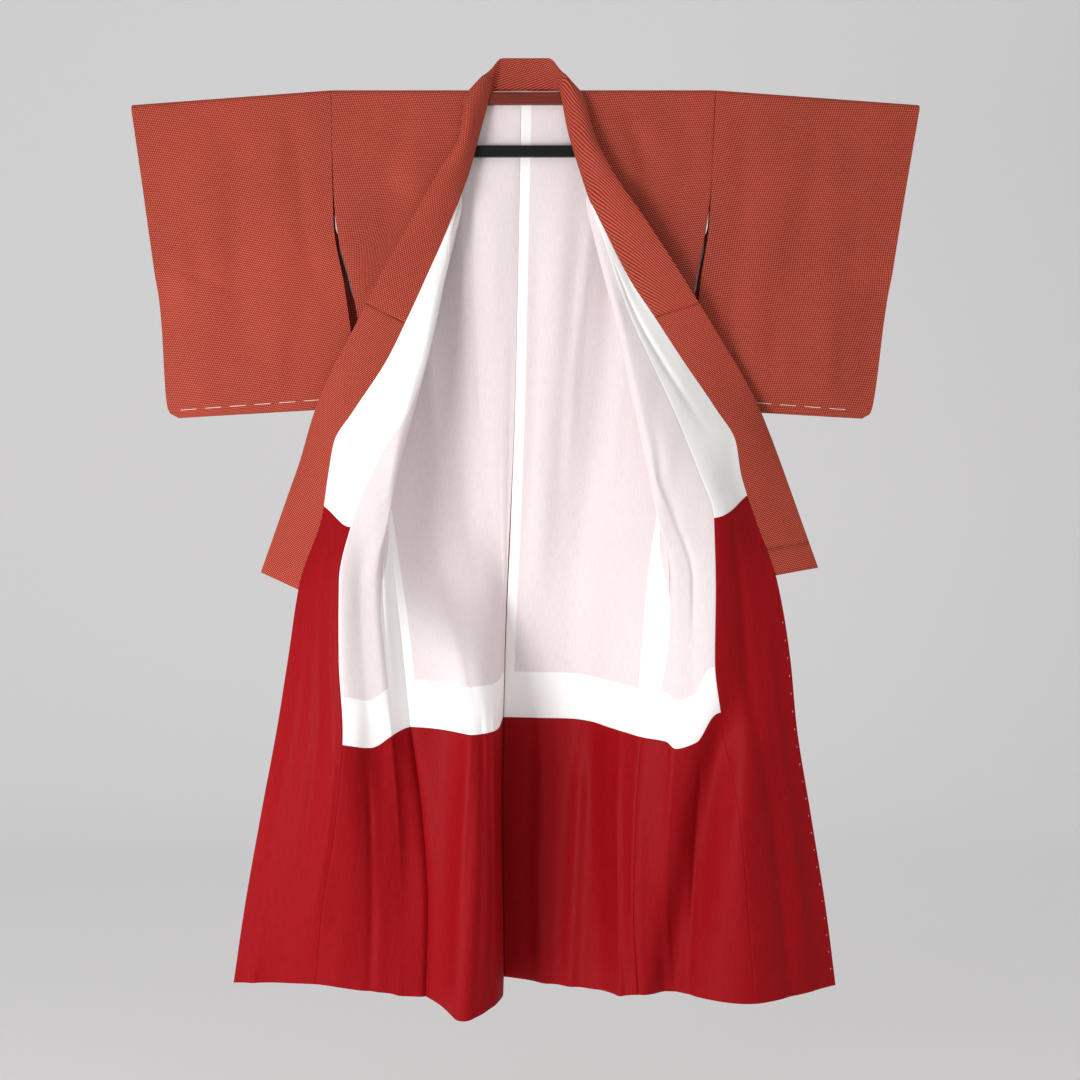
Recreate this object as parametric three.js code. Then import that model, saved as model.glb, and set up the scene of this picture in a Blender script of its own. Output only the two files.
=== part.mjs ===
// Lined kimono hung open on a two-bar hanger.
// Millimetres. The origin is the centre of the shoulder bar, X runs to the viewer's right,
// the open front faces -Y and Z is up. "left" and "right" are as seen from the front.

import * as THREE from "three";

// Cloth: every body panel is an outer layer and a lining on either side of one middle surface
const OUTER_THICKNESS = 1.4;
const LINING_THICKNESS = 1.0;
const COLLAR_THICKNESS = 2.4;
const LAYER_GAP = 0.4;
const SEAM_GAP = 0.4;
const OUTER_REACH = LAYER_GAP / 2 + OUTER_THICKNESS;
const LINING_REACH = LAYER_GAP / 2 + LINING_THICKNESS;

// Hanger: a flat shoulder bar with a round top, two drooping arms, a lower bar on two plates
const BAR_THICKNESS = 12;
const BAR_BOTTOM = -12;
const BAR_TOP = 8;
const BAR_HALF_LENGTH = 300;
const ARM_LENGTH = 300;
const ARM_DROOP = THREE.MathUtils.degToRad(4.3);
const LOWER_BAR = { length: 300, height: 18, thickness: 10, centreZ: -88 };
const STRUT = { offset: 135, width: 16, thickness: 6 };

// The shoulder fold rolls over the bar's round top
const ROLL_CENTRE_Z = BAR_TOP - BAR_THICKNESS / 2;
const ROLL_RADIUS = BAR_THICKNESS / 2 + LAYER_GAP + LINING_REACH;
const FOLD_TURNS = [0.02, 0.34, 0.67, 1];
const NECKLINE_TURNS = [0.82, 0.88, 0.94, 1];

// A table is a list of named columns and a row for each section
function table(columns, rows) {
  const entry = (name, index) => [name, rows.map((row) => row[index])];
  return Object.fromEntries(columns.map(entry));
}

// Height at which the opening below the armhole ends and the side seam begins
const SLIT_BOTTOM = -350;

// Centre back seam: it leans to the viewer's left as the back falls into a pleat
const CENTRE = table(
  ["z", "x", "y"],
  [
    [2, -7, 7.5],
    [-60, -8, 10],
    [-300, -13, 18],
    [-510, -18, 28],
    [-680, -25, 38],
    [-900, -35, 44],
    [-1150, -40, 46],
    [-1440, -37, 46],
  ],
);

// Back panel, one table a side: distance out from the centre line and depth of its two soft
// ridges, a quarter of the way across and over the fullest part of the hem
const BACK_COLUMNS = ["z", "quarter", "quarterY", "bulge", "bulgeY"];
const BACK = {
  left: table(BACK_COLUMNS, [
    [2, 107, 7.5, 210, 7.5],
    [-170, 108, 13, 208, 13],
    [-360, 104, 22, 196, 18],
    [-510, 96, 32, 186, 24],
    [-680, 80, 34, 160, 14],
    [-780, 62, 16, 132, -14],
    [-900, 48, -30, 96, -78],
    [-1010, 43, -70, 80, -112],
    [-1150, 41, -78, 84, -124],
    [-1300, 37, -70, 90, -130],
    [-1440, 36, -55, 95, -132],
  ]),
  right: table(BACK_COLUMNS, [
    [2, 121, 7.5, 210, 7.5],
    [-170, 112, 13, 204, 13],
    [-360, 98, 24, 190, 20],
    [-510, 88, 36, 182, 24],
    [-680, 76, 44, 160, 10],
    [-780, 68, 44, 146, -10],
    [-900, 66, 40, 138, -28],
    [-1010, 72, 34, 138, -34],
    [-1150, 75, 28, 136, -34],
    [-1300, 73, 20, 138, -38],
    [-1440, 71, 12, 142, -42],
  ]),
};

// Front panel and overlap strip, one table a side. The front comes in from the side seam to
// the roll, turns back on itself there (turn 1) and runs out again over the overlap seam to
// the edge, which is the collar's seam down to the collar's end and bare cloth below it.
const FRONT_COLUMNS = [
  "z", "side", "sideY", "roll", "rollY", "turn", "radius", "okumi", "okumiY", "edge", "edgeY",
];
const FRONT = {
  left: table(FRONT_COLUMNS, [
    [2, 314, -7.5, 84, -7.5, 0, 6, 70, -7.6, 57.5, -7.8],
    [-60, 313, -10, 101, -12, 0, 6, 87, -13, 74, -14],
    [-120, 311, -11, 114, -15, 0, 6, 101, -17, 90, -19],
    [-170, 309, -12, 103, -20, 0.6, 8, 107, -26, 107, -31],
    [-230, 302, -13, 114, -30, 1, 7, 124, -31, 130, -31],
    [-300, 283, -13, 130, -42, 1, 8, 146, -42, 160, -37],
    [-360, 272, -1, 141, -56, 1, 9, 164, -50, 187, -41],
    [-430, 266, -3, 156, -72, 1, 10, 188, -61, 221, -44],
    [-510, 258, -12, 176, -90, 1, 11, 201, -84, 273, -46],
    [-560, 248, -30, 189, -98, 1, 11, 222, -94, 304, -50],
    [-610, 236, -50, 201, -104, 1, 9, 241, -101, 312, -58],
    [-680, 219, -74, 213, -112, 0.5, 7, 267, -118, 321, -70],
    [-780, 206, -82, 232, -116, 0, 7, 287, -140, 353, -88],
    [-900, 192, -86, 224, -124, 0, 7, 286, -150, 371, -95],
    [-1010, 181, -88, 214, -122, 0, 7, 280, -150, 389, -90],
    [-1150, 163, -90, 207, -108, 0, 7, 293, -125, 417, -75],
    [-1300, 154, -86, 206, -90, 0, 7, 319, -90, 446, -55],
    [-1440, 158, -80, 212, -84, 0, 7, 334, -60, 469, -35],
  ]),
  right: table(FRONT_COLUMNS, [
    [2, 307, -7.5, 84, -7.5, 0, 6, 70, -7.6, 57.5, -7.8],
    [-60, 304, -10, 97, -12, 0, 6, 83, -13, 70, -14],
    [-120, 302, -11, 112, -15, 0, 6, 100, -17, 88, -19],
    [-170, 298, -12, 99, -20, 0.6, 8, 103, -26, 104, -31],
    [-230, 289, -13, 111, -30, 1, 7, 124, -31, 132, -31],
    [-300, 275, -13, 128, -42, 1, 8, 146, -42, 167, -37],
    [-360, 268, -1, 143, -56, 1, 9, 167, -52, 206, -41],
    [-430, 264, -3, 157, -72, 1, 10, 198, -64, 251, -44],
    [-510, 256, -12, 173, -90, 1, 11, 234, -78, 305, -46],
    [-560, 246, -30, 184, -98, 1, 11, 254, -86, 335, -50],
    [-610, 235, -50, 194, -104, 1, 9, 273, -96, 342, -58],
    [-680, 217, -72, 208, -112, 0.5, 7, 295, -110, 363, -68],
    [-780, 203, -82, 236, -120, 0, 7, 296, -128, 396, -88],
    [-900, 194, -86, 236, -122, 0, 7, 294, -136, 416, -92],
    [-1010, 185, -88, 236, -120, 0, 7, 309, -138, 427, -88],
    [-1150, 175, -86, 232, -108, 0, 7, 334, -128, 451, -75],
    [-1300, 172, -78, 236, -94, 0, 7, 348, -116, 477, -58],
    [-1440, 180, -68, 246, -84, 0, 7, 359, -105, 497, -40],
  ]),
};

// Heights of the three lines that run across all panels: where the overlap's white lining
// ends, where the body's pale lining ends, and the hem
const LINE_COLUMNS = [
  "centre", "quarter", "bulge", "side", "inner", "roll", "outer", "okumi", "edge",
];
const LINES = {
  left: {
    overlapLine: [-690, -690, -690, -690, -690, -692, -694, -695, -663],
    redLine: [-1009, -1014, -1019, -1010, -1018, -1024, -1038, -1030, -1022],
    hem: [-1437, -1440, -1461, -1440, -1438, -1434, -1428, -1420, -1425],
  },
  right: {
    overlapLine: [-690, -690, -690, -690, -688, -686, -683, -681, -646],
    redLine: [-1010, -1011, -1018, -1026, -1030, -1040, -1030, -983, -990],
    hem: [-1437, -1443, -1443, -1438, -1437, -1437, -1438, -1440, -1428],
  },
};

// Rows between those lines, as shares of the way from one to the next. The overlap starts on
// row 8, the over-collar ends on row 12 and the collar ends on row 18.
const UPPER_ROWS = [
  0.06, 0.13, 0.2, 0.235, 0.275, 0.35, 0.425, 0.49, 0.56, 0.65, 0.74, 0.82, 0.91, 1,
];
const MIDDLE_ROWS = [0.365, 0.58, 0.79, 1];
const LOWER_ROWS = [0.16, 0.34, 0.54, 0.77, 1];
const OVERLAP_TOP_ROW = 8;
const OVERCOLLAR_ROW = 12;
const OVERLAP_LINE_ROW = FOLD_TURNS.length + UPPER_ROWS.length - 1;
const COLLAR_END_ROW = OVERLAP_LINE_ROW + 1;
const RED_LINE_ROW = OVERLAP_LINE_ROW + MIDDLE_ROWS.length;
const HEM_ROW = RED_LINE_ROW + LOWER_ROWS.length;

// Columns across the panels, counted in the knots of the tables: the back runs from the
// centre seam (0) over its ridges to the side (3), the front from the side (0) to the edge (5)
const BACK_STEPS = [0, 0.24, 0.46, 0.5, 0.75, 1, 1.5, 2, 2.5, 3];
const NECKLINE_STEP = 0.48;
const NECK_CORNER_STEP = 0.6;
const NECK_EASE = 1.2;
const FRONT_STEPS = [0, 0.4, 0.8, 1, 1.5, 2, 2.5, 3, 3.5, 4];
const OVERLAP_STEPS = [0, 0.12, 0.32, 0.6, 1];
const EDGE_KNOT = 5;
const OKUMI_KNOT = 4;

// Knot at which the overlap seam crosses each row: at the edge above the overlap, and on the
// left it stays hidden in the roll (2) until it comes out on row 15
const OVERLAP_SEAM = {
  left: { 8: 4.6, 9: 3, 10: 2, 11: 2, 12: 2, 13: 2.2, 14: 2.8, 15: 3.8 },
  right: { 8: 4.6 },
};

// Soft folds: troughs (depth above 0, away from the outer face) and ridges, each along a line
// from one place in knots and height to another
const FOLD_COLUMNS = ["from", "to", "top", "bottom", "width", "depth"];
const FRONT_FOLDS = {
  left: table(FOLD_COLUMNS, [
    [0.78, 0.18, 10, -330, 0.13, 6],
    [2.6, 0.9, -980, -1440, 0.55, 13],
    [3.5, 2.2, -1000, -1440, 0.5, -8],
  ]),
  right: table(FOLD_COLUMNS, [
    [0.97, 0.34, 10, -330, 0.13, 6],
    [0.4, 0.06, 10, -260, 0.08, 4],
    [2.5, 0.6, -980, -1440, 0.5, 12],
    [3.4, 1.9, -1000, -1440, 0.5, -7],
  ]),
};
const BACK_FOLDS = {
  left: table(FOLD_COLUMNS, [
    [0.5, 0.35, -60, -760, 0.28, 7],
    [1.35, 1.2, -60, -800, 0.3, -7],
    [2.5, 2.5, -860, -1440, 0.3, -9],
  ]),
  right: table(FOLD_COLUMNS, [
    [0.55, 0.5, -60, -900, 0.28, 7],
    [1.4, 1.3, -60, -900, 0.3, -7],
    [1.55, 1.7, -900, -1440, 0.28, -8],
  ]),
};

// Collar: for each height on its seam, the free edge's place and how far the strip bellies
// forward and up between them as it rolls off the neck
const COLLAR_COLUMNS = ["z", "free", "freeY", "freeZ", "belly", "lift"];
const COLLAR = {
  left: table(COLLAR_COLUMNS, [
    [2, 75, -6, 25, 9, 13],
    [-31, 96, -14, 5, 15, 8],
    [-51, 100, -24, -29, 17, 3],
    [-89, 106, -34, -71, 15, 0],
    [-130, 135, -42, -121, 9, 0],
    [-179, 158, -46, -163, 6, 0],
    [-241, 190, -48, -221, 4, 0],
    [-308, 224, -48, -281, 3, 0],
    [-397, 267, -42, -364, 2, 0],
    [-474, 305, -34, -438, 2, 0],
    [-522, 335, -24, -494, 2, 0],
    [-551, 343, -21, -524, 3, 0],
    [-581, 354, -27, -566, 3, 0],
    [-627, 369, -36, -614, 3, 0],
    [-672, 383, -48, -658, 2, 0],
    [-724, 401, -60, -713, 2, 0],
    [-795, 418, -74, -768, 2, 0],
  ]),
  right: table(COLLAR_COLUMNS, [
    [2, 69, -6, 28, 9, 13],
    [-31, 91, -14, 5, 15, 8],
    [-54, 101, -24, -29, 17, 3],
    [-93, 115, -34, -78, 15, 0],
    [-138, 145, -42, -135, 9, 0],
    [-187, 173, -46, -177, 6, 0],
    [-234, 199, -48, -215, 4, 0],
    [-296, 233, -48, -267, 3, 0],
    [-377, 289, -42, -356, 2, 0],
    [-437, 325, -34, -414, 2, 0],
    [-505, 364, -24, -479, 2, 0],
    [-557, 384, -21, -524, 3, 0],
    [-597, 403, -27, -574, 3, 0],
    [-646, 422, -36, -630, 3, 0],
    [-703, 442, -50, -693, 2, 0],
    [-780, 466, -74, -768, 2, 0],
  ]),
};
const COLLAR_STEPS = [0, 0.25, 0.5, 0.75, 1];

// Collar round the back of the neck: seam and free edge from the centre out to where it
// crosses the top of the bar
const NECK = table(
  ["seam", "seamY", "seamZ", "free", "freeY", "freeZ", "belly"],
  [
    [0, 8.8, 6, 0, 12, 66, 0],
    [26, 8.8, 6, 22, 12, 66, 0],
    [46, 8.6, 6, 38, 10.5, 65.5, 1],
    [53.5, 5, 8.6, 44, 8, 62, 3],
    [54.5, -1, 10.2, 54, 3, 48, 5],
  ],
);

// Sleeve: its inner and outer edges, as distances out and heights for each share of its length
const SLEEVE_COLUMNS = ["share", "x", "z"];
const SLEEVE_ROWS = [0.1, 0.2, 0.3, 0.4, 0.5, 0.6, 0.7, 0.8, 0.88, 0.94, 0.975];
const SLEEVE_EDGES = {
  left: {
    inner: table(SLEEVE_COLUMNS, [
      [0, 314.5, 2],
      [0.42, 309.5, -207],
      [0.63, 291, -314],
      [0.82, 277, -420],
      [1, 272, -502],
    ]),
    outer: table(SLEEVE_COLUMNS, [
      [0, 637, -22],
      [0.3, 615, -171],
      [0.68, 590, -362],
      [0.93, 581, -496],
      [0.975, 576, -512],
      [1, 563, -519],
    ]),
  },
  right: {
    inner: table(SLEEVE_COLUMNS, [
      [0, 307.5, 2],
      [0.42, 296.5, -207],
      [0.63, 281, -314],
      [0.82, 274, -420],
      [1, 272, -504],
    ]),
    outer: table(SLEEVE_COLUMNS, [
      [0, 637, -22],
      [0.3, 611, -171],
      [0.68, 581, -362],
      [0.93, 563, -497],
      [0.975, 558, -513],
      [1, 546, -520],
    ]),
  },
};
const SLEEVE_TURNS = [0.34, 0.67, 0.99];
const SLEEVE_STEPS = [0, 0.14, 0.38, 0.62, 0.84, 0.95, 1];
const CUFF_OPENING_SHARE = 0.52;
const JOINED_SHARE = 0.42;
const SLEEVE_FULLNESS = 14;
const CLOSED_HALF_WIDTH = 1.6;

// Smooth curve through points that never swings past them (monotone cubic)
function smoothCurve(knots, values) {
  const count = knots.length;
  const slopes = [];
  for (let i = 0; i < count - 1; i += 1) {
    slopes.push((values[i + 1] - values[i]) / (knots[i + 1] - knots[i]));
  }
  const tangents = values.map((_, i) => {
    if (i === 0) return slopes[0];
    if (i === count - 1) return slopes[count - 2];
    const [before, after] = [slopes[i - 1], slopes[i]];
    return before * after <= 0 ? 0 : (2 * before * after) / (before + after);
  });
  return (place) => {
    const clamped = THREE.MathUtils.clamp(place, knots[0], knots[count - 1]);
    let i = 0;
    while (i < count - 2 && clamped > knots[i + 1]) i += 1;
    const step = knots[i + 1] - knots[i];
    const t = (clamped - knots[i]) / step;
    const [t2, t3] = [t * t, t * t * t];
    return (
      (2 * t3 - 3 * t2 + 1) * values[i] + (t3 - 2 * t2 + t) * step * tangents[i]
      + (3 * t2 - 2 * t3) * values[i + 1] + (t3 - t2) * step * tangents[i + 1]
    );
  };
}

// Every column of a table as a curve down the height
function columnCurves(source) {
  const heights = [...source.z].reverse();
  const curves = {};
  for (const [name, values] of Object.entries(source)) {
    curves[name] = smoothCurve(heights, [...values].reverse());
  }
  return curves;
}

// How far a soft fold pushes the cloth at a place in knots and height: a rounded trough whose
// ends fade out along its line
function foldDepth(folds, knot, z) {
  return folds.depth.reduce((sum, depth, i) => {
    const along = (folds.top[i] - z) / (folds.top[i] - folds.bottom[i]);
    if (along <= 0 || along > 1.001) return sum;
    const centre = THREE.MathUtils.lerp(folds.from[i], folds.to[i], along);
    const across = (knot - centre) / folds.width[i];
    const fade = THREE.MathUtils.smoothstep(along, 0, 0.25);
    return sum + depth * fade * Math.exp(-across * across);
  }, 0);
}

// One side of the body. It gives a point of the middle surface for a row and a knot.
function bodySide(side) {
  const sign = side === "left" ? -1 : 1;
  const centre = columnCurves(CENTRE);
  const back = columnCurves(BACK[side]);
  const front = columnCurves(FRONT[side]);
  const indices = LINE_COLUMNS.map((_, i) => i);
  const line = (name) => smoothCurve(indices, LINES[side][name]);
  const [overlapLine, redLine, hem] = [line("overlapLine"), line("redLine"), line("hem")];

  // Height of a row at a place counted along the lines' columns
  const rowHeight = (row, place) => {
    const mix = THREE.MathUtils.lerp;
    if (row > RED_LINE_ROW) {
      return mix(redLine(place), hem(place), LOWER_ROWS[row - RED_LINE_ROW - 1]);
    }
    if (row > OVERLAP_LINE_ROW) {
      return mix(overlapLine(place), redLine(place), MIDDLE_ROWS[row - OVERLAP_LINE_ROW - 1]);
    }
    return mix(ROLL_CENTRE_Z, overlapLine(place), UPPER_ROWS[row - FOLD_TURNS.length]);
  };

  const backKnots = (z) => [
    [sign * centre.x(z), centre.y(z)],
    [back.quarter(z), back.quarterY(z)],
    [back.bulge(z), back.bulgeY(z)],
    [front.side(z), z > SLIT_BOTTOM ? -front.sideY(z) : front.sideY(z)],
  ];

  const frontKnots = (z) => {
    const at = (name) => new THREE.Vector2(front[name](z), front[`${name}Y`](z));
    const [seam, roll, okumi, edge] = [at("side"), at("roll"), at("okumi"), at("edge")];
    const turn = front.turn(z);
    const radius = front.radius(z);
    const toward = (target, share) => roll.clone().lerp(target, share);
    const folded = (x, y) => new THREE.Vector2(roll.x + x * radius, roll.y + y * radius);
    const inner = toward(seam, 0.3).lerp(folded(1, 2), turn);
    const outer = toward(okumi, 0.4).lerp(folded(1, 0), turn);
    const apex = roll.clone().lerp(folded(0, 1), turn);
    return [seam, inner, apex, outer, okumi, edge].map((p) => [p.x, p.y]);
  };

  const across = (knots, knot) => {
    const places = knots.map((_, i) => i);
    const x = smoothCurve(places, knots.map((p) => p[0]))(knot);
    const y = smoothCurve(places, knots.map((p) => p[1]))(knot);
    return [x, y];
  };

  // The first rows roll over the bar; the neckline's columns start lower down on that roll
  const rolled = (x, turn, facing, radius = ROLL_RADIUS) => {
    const angle = (turn * Math.PI) / 2;
    const y = facing * radius * Math.sin(angle);
    return new THREE.Vector3(sign * x, y, ROLL_CENTRE_Z + radius * Math.cos(angle));
  };

  const backPoint = (row, knot) => {
    if (row < FOLD_TURNS.length) {
      const turns = knot < NECKLINE_STEP ? NECKLINE_TURNS : FOLD_TURNS;
      const radius = ROLL_RADIUS + (knot < NECK_CORNER_STEP ? NECK_EASE : 0);
      return rolled(across(backKnots(ROLL_CENTRE_Z), knot)[0], turns[row], 1, radius);
    }
    const z = rowHeight(row, knot);
    const [x, y] = across(backKnots(z), knot);
    return new THREE.Vector3(sign * x, y - foldDepth(BACK_FOLDS[side], knot, z), z);
  };

  const frontPoint = (row, knot) => {
    if (row < FOLD_TURNS.length) {
      return rolled(across(frontKnots(ROLL_CENTRE_Z), knot)[0], FOLD_TURNS[row], -1);
    }
    const z = rowHeight(row, 3 + knot);
    const [x, y] = across(frontKnots(z), knot);
    return new THREE.Vector3(sign * x, y + foldDepth(FRONT_FOLDS[side], knot, z), z);
  };

  return { sign, backPoint, frontPoint };
}

// Direction of a line at one of its points, halfway between the directions to either side
function direction(before, point, after) {
  const sum = new THREE.Vector3();
  if (before) sum.add(point.clone().sub(before).normalize());
  if (after) sum.add(after.clone().sub(point).normalize());
  return sum;
}

// A grid of points with its outward normals; "from the outer face" is the positive side
function gridOf(rows, columns, point, sign) {
  const points = rows.map((row) => columns(row).map((knot) => point(row, knot)));
  const normals = points.map((line, i) => line.map((_, j) => {
    const along = direction(line[j - 1], line[j], line[j + 1]);
    const fall = direction(points[i - 1]?.[j], line[j], points[i + 1]?.[j]);
    return along.cross(fall).normalize().multiplyScalar(sign);
  }));
  return { points, normals };
}

// A part of a grid, by its rows and columns
function gridPart(grid, firstRow, lastRow) {
  return {
    points: grid.points.slice(firstRow, lastRow + 1),
    normals: grid.normals.slice(firstRow, lastRow + 1),
  };
}

// Draw the four borders of a grid in, so that neighbours keep the seam gap. Each amount is a
// number, or a function of the row for the first and last columns.
function trimmed(grid, { first = 0, last = 0, top = 0, bottom = 0 }) {
  const points = grid.points.map((line) => line.map((p) => p.clone()));
  const pull = (point, inner, amount) => {
    const gap = point.distanceTo(inner);
    point.lerp(inner, Math.min(amount / gap, 0.7));
  };
  const amountAt = (amount, row) => (typeof amount === "function" ? amount(row) : amount);
  const end = points[0].length - 1;
  points.forEach((line, i) => {
    pull(line[0], line[1], amountAt(first, i));
    pull(line[end], line[end - 1], amountAt(last, i));
  });
  const base = points.length - 1;
  points[0].forEach((p, j) => pull(p, points[1][j], top));
  points[base].forEach((p, j) => pull(p, points[base - 1][j], bottom));
  return { points, normals: grid.normals };
}

// A closed wall between two offsets from a grid
function wallGeometry({ points, normals }, low, high) {
  const [rows, columns] = [points.length, points[0].length];
  const positions = [];
  for (const offset of [high, low]) {
    points.forEach((line, i) => line.forEach((p, j) => {
      positions.push(...p.clone().addScaledVector(normals[i][j], offset).toArray());
    }));
  }
  const layer = rows * columns;
  const at = (i, j, k) => k * layer + i * columns + j;
  const index = [];
  const quad = (a, b, c, d) => index.push(a, b, c, a, c, d);
  for (let i = 0; i < rows - 1; i += 1) {
    for (let j = 0; j < columns - 1; j += 1) {
      quad(at(i, j, 0), at(i, j + 1, 0), at(i + 1, j + 1, 0), at(i + 1, j, 0));
      quad(at(i, j, 1), at(i + 1, j, 1), at(i + 1, j + 1, 1), at(i, j + 1, 1));
    }
    quad(at(i, 0, 0), at(i + 1, 0, 0), at(i + 1, 0, 1), at(i, 0, 1));
    const end = columns - 1;
    quad(at(i, end, 0), at(i, end, 1), at(i + 1, end, 1), at(i + 1, end, 0));
  }
  for (let j = 0; j < columns - 1; j += 1) {
    quad(at(0, j, 0), at(0, j, 1), at(0, j + 1, 1), at(0, j + 1, 0));
    const end = rows - 1;
    quad(at(end, j, 0), at(end, j + 1, 0), at(end, j + 1, 1), at(end, j, 1));
  }
  const geometry = new THREE.BufferGeometry();
  geometry.setAttribute("position", new THREE.Float32BufferAttribute(positions, 3));
  geometry.setIndex(index);
  geometry.computeVertexNormals();
  return geometry;
}

// Finishes
const finish = (colour, roughness, metalness = 0) =>
  new THREE.MeshStandardMaterial({ color: colour, roughness, metalness, side: THREE.DoubleSide });
const PATTERNED_SILK = finish("#b2402f", 0.7);
const PALE_LINING = finish("#dccfcf", 0.75);
const WHITE_LINING = finish("#f2f1ee", 0.75);
const RED_LINING = finish("#a5141c", 0.6);
const BROWN_BAR = finish("#6b3226", 0.5);
const BLACK_BAR = finish("#202022", 0.45);

const kimono = new THREE.Group();

function addPiece(name, geometry, material, parent = kimono) {
  const piece = new THREE.Mesh(geometry, material.clone());
  piece.name = name;
  parent.add(piece);
  return piece;
}

// The wall's two faces swap sides with the mirrored panels, so offsets change sign with them
function addPanel(name, { points, normals }, sign, { low, high, material }) {
  const mirrored = normals.map((line) => line.map((n) => n.clone().multiplyScalar(sign)));
  const offsets = [sign * low, sign * high].sort((a, b) => a - b);
  return addPiece(name, wallGeometry({ points, normals: mirrored }, ...offsets), material);
}

// The layers of the body and of the overlap, each from its first row to its last
const OUTER_LAYER = { low: LAYER_GAP / 2, high: OUTER_REACH, material: PATTERNED_SILK };
const LINING_LAYER = { low: -LINING_REACH, high: -LAYER_GAP / 2 };
const LINING_HEM_TRIM = 1.5;
const BODY_SPANS = [
  { ...OUTER_LAYER, prefix: "", first: 0, last: HEM_ROW, hemTrim: 0 },
  { ...LINING_LAYER, prefix: "lining_", first: 0, last: RED_LINE_ROW, material: PALE_LINING },
  {
    ...LINING_LAYER, prefix: "hem_", first: RED_LINE_ROW, last: HEM_ROW, material: RED_LINING,
    hemTrim: LINING_HEM_TRIM,
  },
];
const OVERLAP_SPANS = [
  { ...OUTER_LAYER, prefix: "", first: OVERLAP_TOP_ROW, last: HEM_ROW, hemTrim: 0 },
  {
    ...LINING_LAYER, prefix: "lining_", first: OVERLAP_TOP_ROW, last: OVERLAP_LINE_ROW,
    material: WHITE_LINING,
  },
  {
    ...LINING_LAYER, prefix: "hem_", first: OVERLAP_LINE_ROW, last: HEM_ROW,
    material: RED_LINING, hemTrim: LINING_HEM_TRIM,
  },
];

// How far the panels' borders draw back, in mm, and the rows where that changes
const FOLD_TRIM = 0.45;
const PLEAT_TRIM = 1.8;
const PLEAT_ROW = 16;
const ROLL_TRIM = 1.6;
const ROLL_END_ROW = 16;
const OKUMI_TRIM = 0.5;
const EDGE_TRIM = 1;
const NECK_TRIM = 3.4;
const NECK_END_ROW = 10;
const COLLAR_NECK_TRIM = 2.6;

// How much two panels that meet at an angle must each draw back on the inside of the corner
function mitre(before, corner, after, normal, reach) {
  const [a, b] = [corner.clone().sub(before).setZ(0), after.clone().sub(corner).setZ(0)];
  const turn = a.angleTo(b);
  const inside = b.clone().normalize().sub(a.normalize()).dot(normal) > 0 ? 1 : -1;
  const half = Math.min(Math.tan(turn / 2), 4);
  return inside * reach > 0 ? Math.abs(reach) * half : 0;
}

const halfGap = SEAM_GAP / 2;
const rowList = (first, last) => Array.from({ length: last - first + 1 }, (_, i) => first + i);

// Build one side of the body and hand its collar seam to the collar
function addBodySide(side) {
  const { sign, backPoint, frontPoint } = bodySide(side);
  const seamKnot = (row) => {
    if (row < OVERLAP_TOP_ROW) return EDGE_KNOT;
    return OVERLAP_SEAM[side][row] ?? OKUMI_KNOT;
  };
  const allRows = rowList(0, HEM_ROW);
  const backGrid = gridOf(allRows, () => BACK_STEPS, backPoint, sign);
  const frontColumns = (row) => FRONT_STEPS.map((step) => (step * seamKnot(row)) / OKUMI_KNOT);
  const frontGrid = gridOf(allRows, frontColumns, frontPoint, sign);
  const overlapColumns = (row) =>
    OVERLAP_STEPS.map((step) => THREE.MathUtils.lerp(seamKnot(row), EDGE_KNOT, step));
  const overlapRows = rowList(OVERLAP_TOP_ROW, HEM_ROW);
  const overlapGrid = gridOf(overlapRows, overlapColumns, frontPoint, sign);

  // How far each panel draws back from its neighbours: at the side seam by a mitre for the
  // corner there, at the centre seam more where the pleat turns it, at the overlap seam more
  // in the roll, and at the collar more round the neck
  const backEnd = BACK_STEPS.length - 1;
  const trims = {
    side: (row) => {
      const [backLine, frontLine] = [backGrid.points[row], frontGrid.points[row]];
      const corner = [backLine[backEnd - 1], frontLine[0], frontLine[1]];
      const normal = backGrid.normals[row][backEnd];
      const cuts = [OUTER_REACH, -LINING_REACH].map((reach) => mitre(...corner, normal, reach));
      return halfGap + Math.max(...cuts);
    },
    centre: (row) => (row < PLEAT_ROW ? halfGap : PLEAT_TRIM),
    okumi: (row) => (side === "left" && row < ROLL_END_ROW ? ROLL_TRIM : OKUMI_TRIM),
    edge: (row) => (row < NECK_END_ROW ? NECK_TRIM : EDGE_TRIM),
    front: (row) => (row <= OVERLAP_TOP_ROW ? trims.edge(row) : trims.okumi(row)),
  };

  const addSpan = (panel, grid, gridTop, span, borders) => {
    const part = gridPart(grid, span.first - gridTop, span.last - gridTop);
    const [first, last] = borders.map((trim) => (index) => trim(span.first + index));
    const top = span.first === gridTop ? FOLD_TRIM : halfGap;
    const bottom = span.last === HEM_ROW ? span.hemTrim : halfGap;
    addPanel(`${span.prefix}${panel}_${side}`, trimmed(part, { first, last, top, bottom }),
      sign, span);
  };
  for (const span of BODY_SPANS) {
    addSpan("back", backGrid, 0, span, [trims.centre, trims.side]);
    addSpan("front", frontGrid, 0, span, [trims.side, trims.front]);
  }
  for (const span of OVERLAP_SPANS) {
    addSpan("okumi", overlapGrid, OVERLAP_TOP_ROW, span, [trims.okumi, trims.edge]);
  }
  return rowList(0, COLLAR_END_ROW).map((row) => frontPoint(row, EDGE_KNOT));
}

// A rung of the collar from its seam to its free edge, bellied between them
function collarRung(seam, free, belly, lift) {
  return COLLAR_STEPS.map((step) => {
    const arch = 4 * step * (1 - step);
    return seam.clone().lerp(free, step).add(new THREE.Vector3(0, -belly * arch, lift * arch));
  });
}

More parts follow.
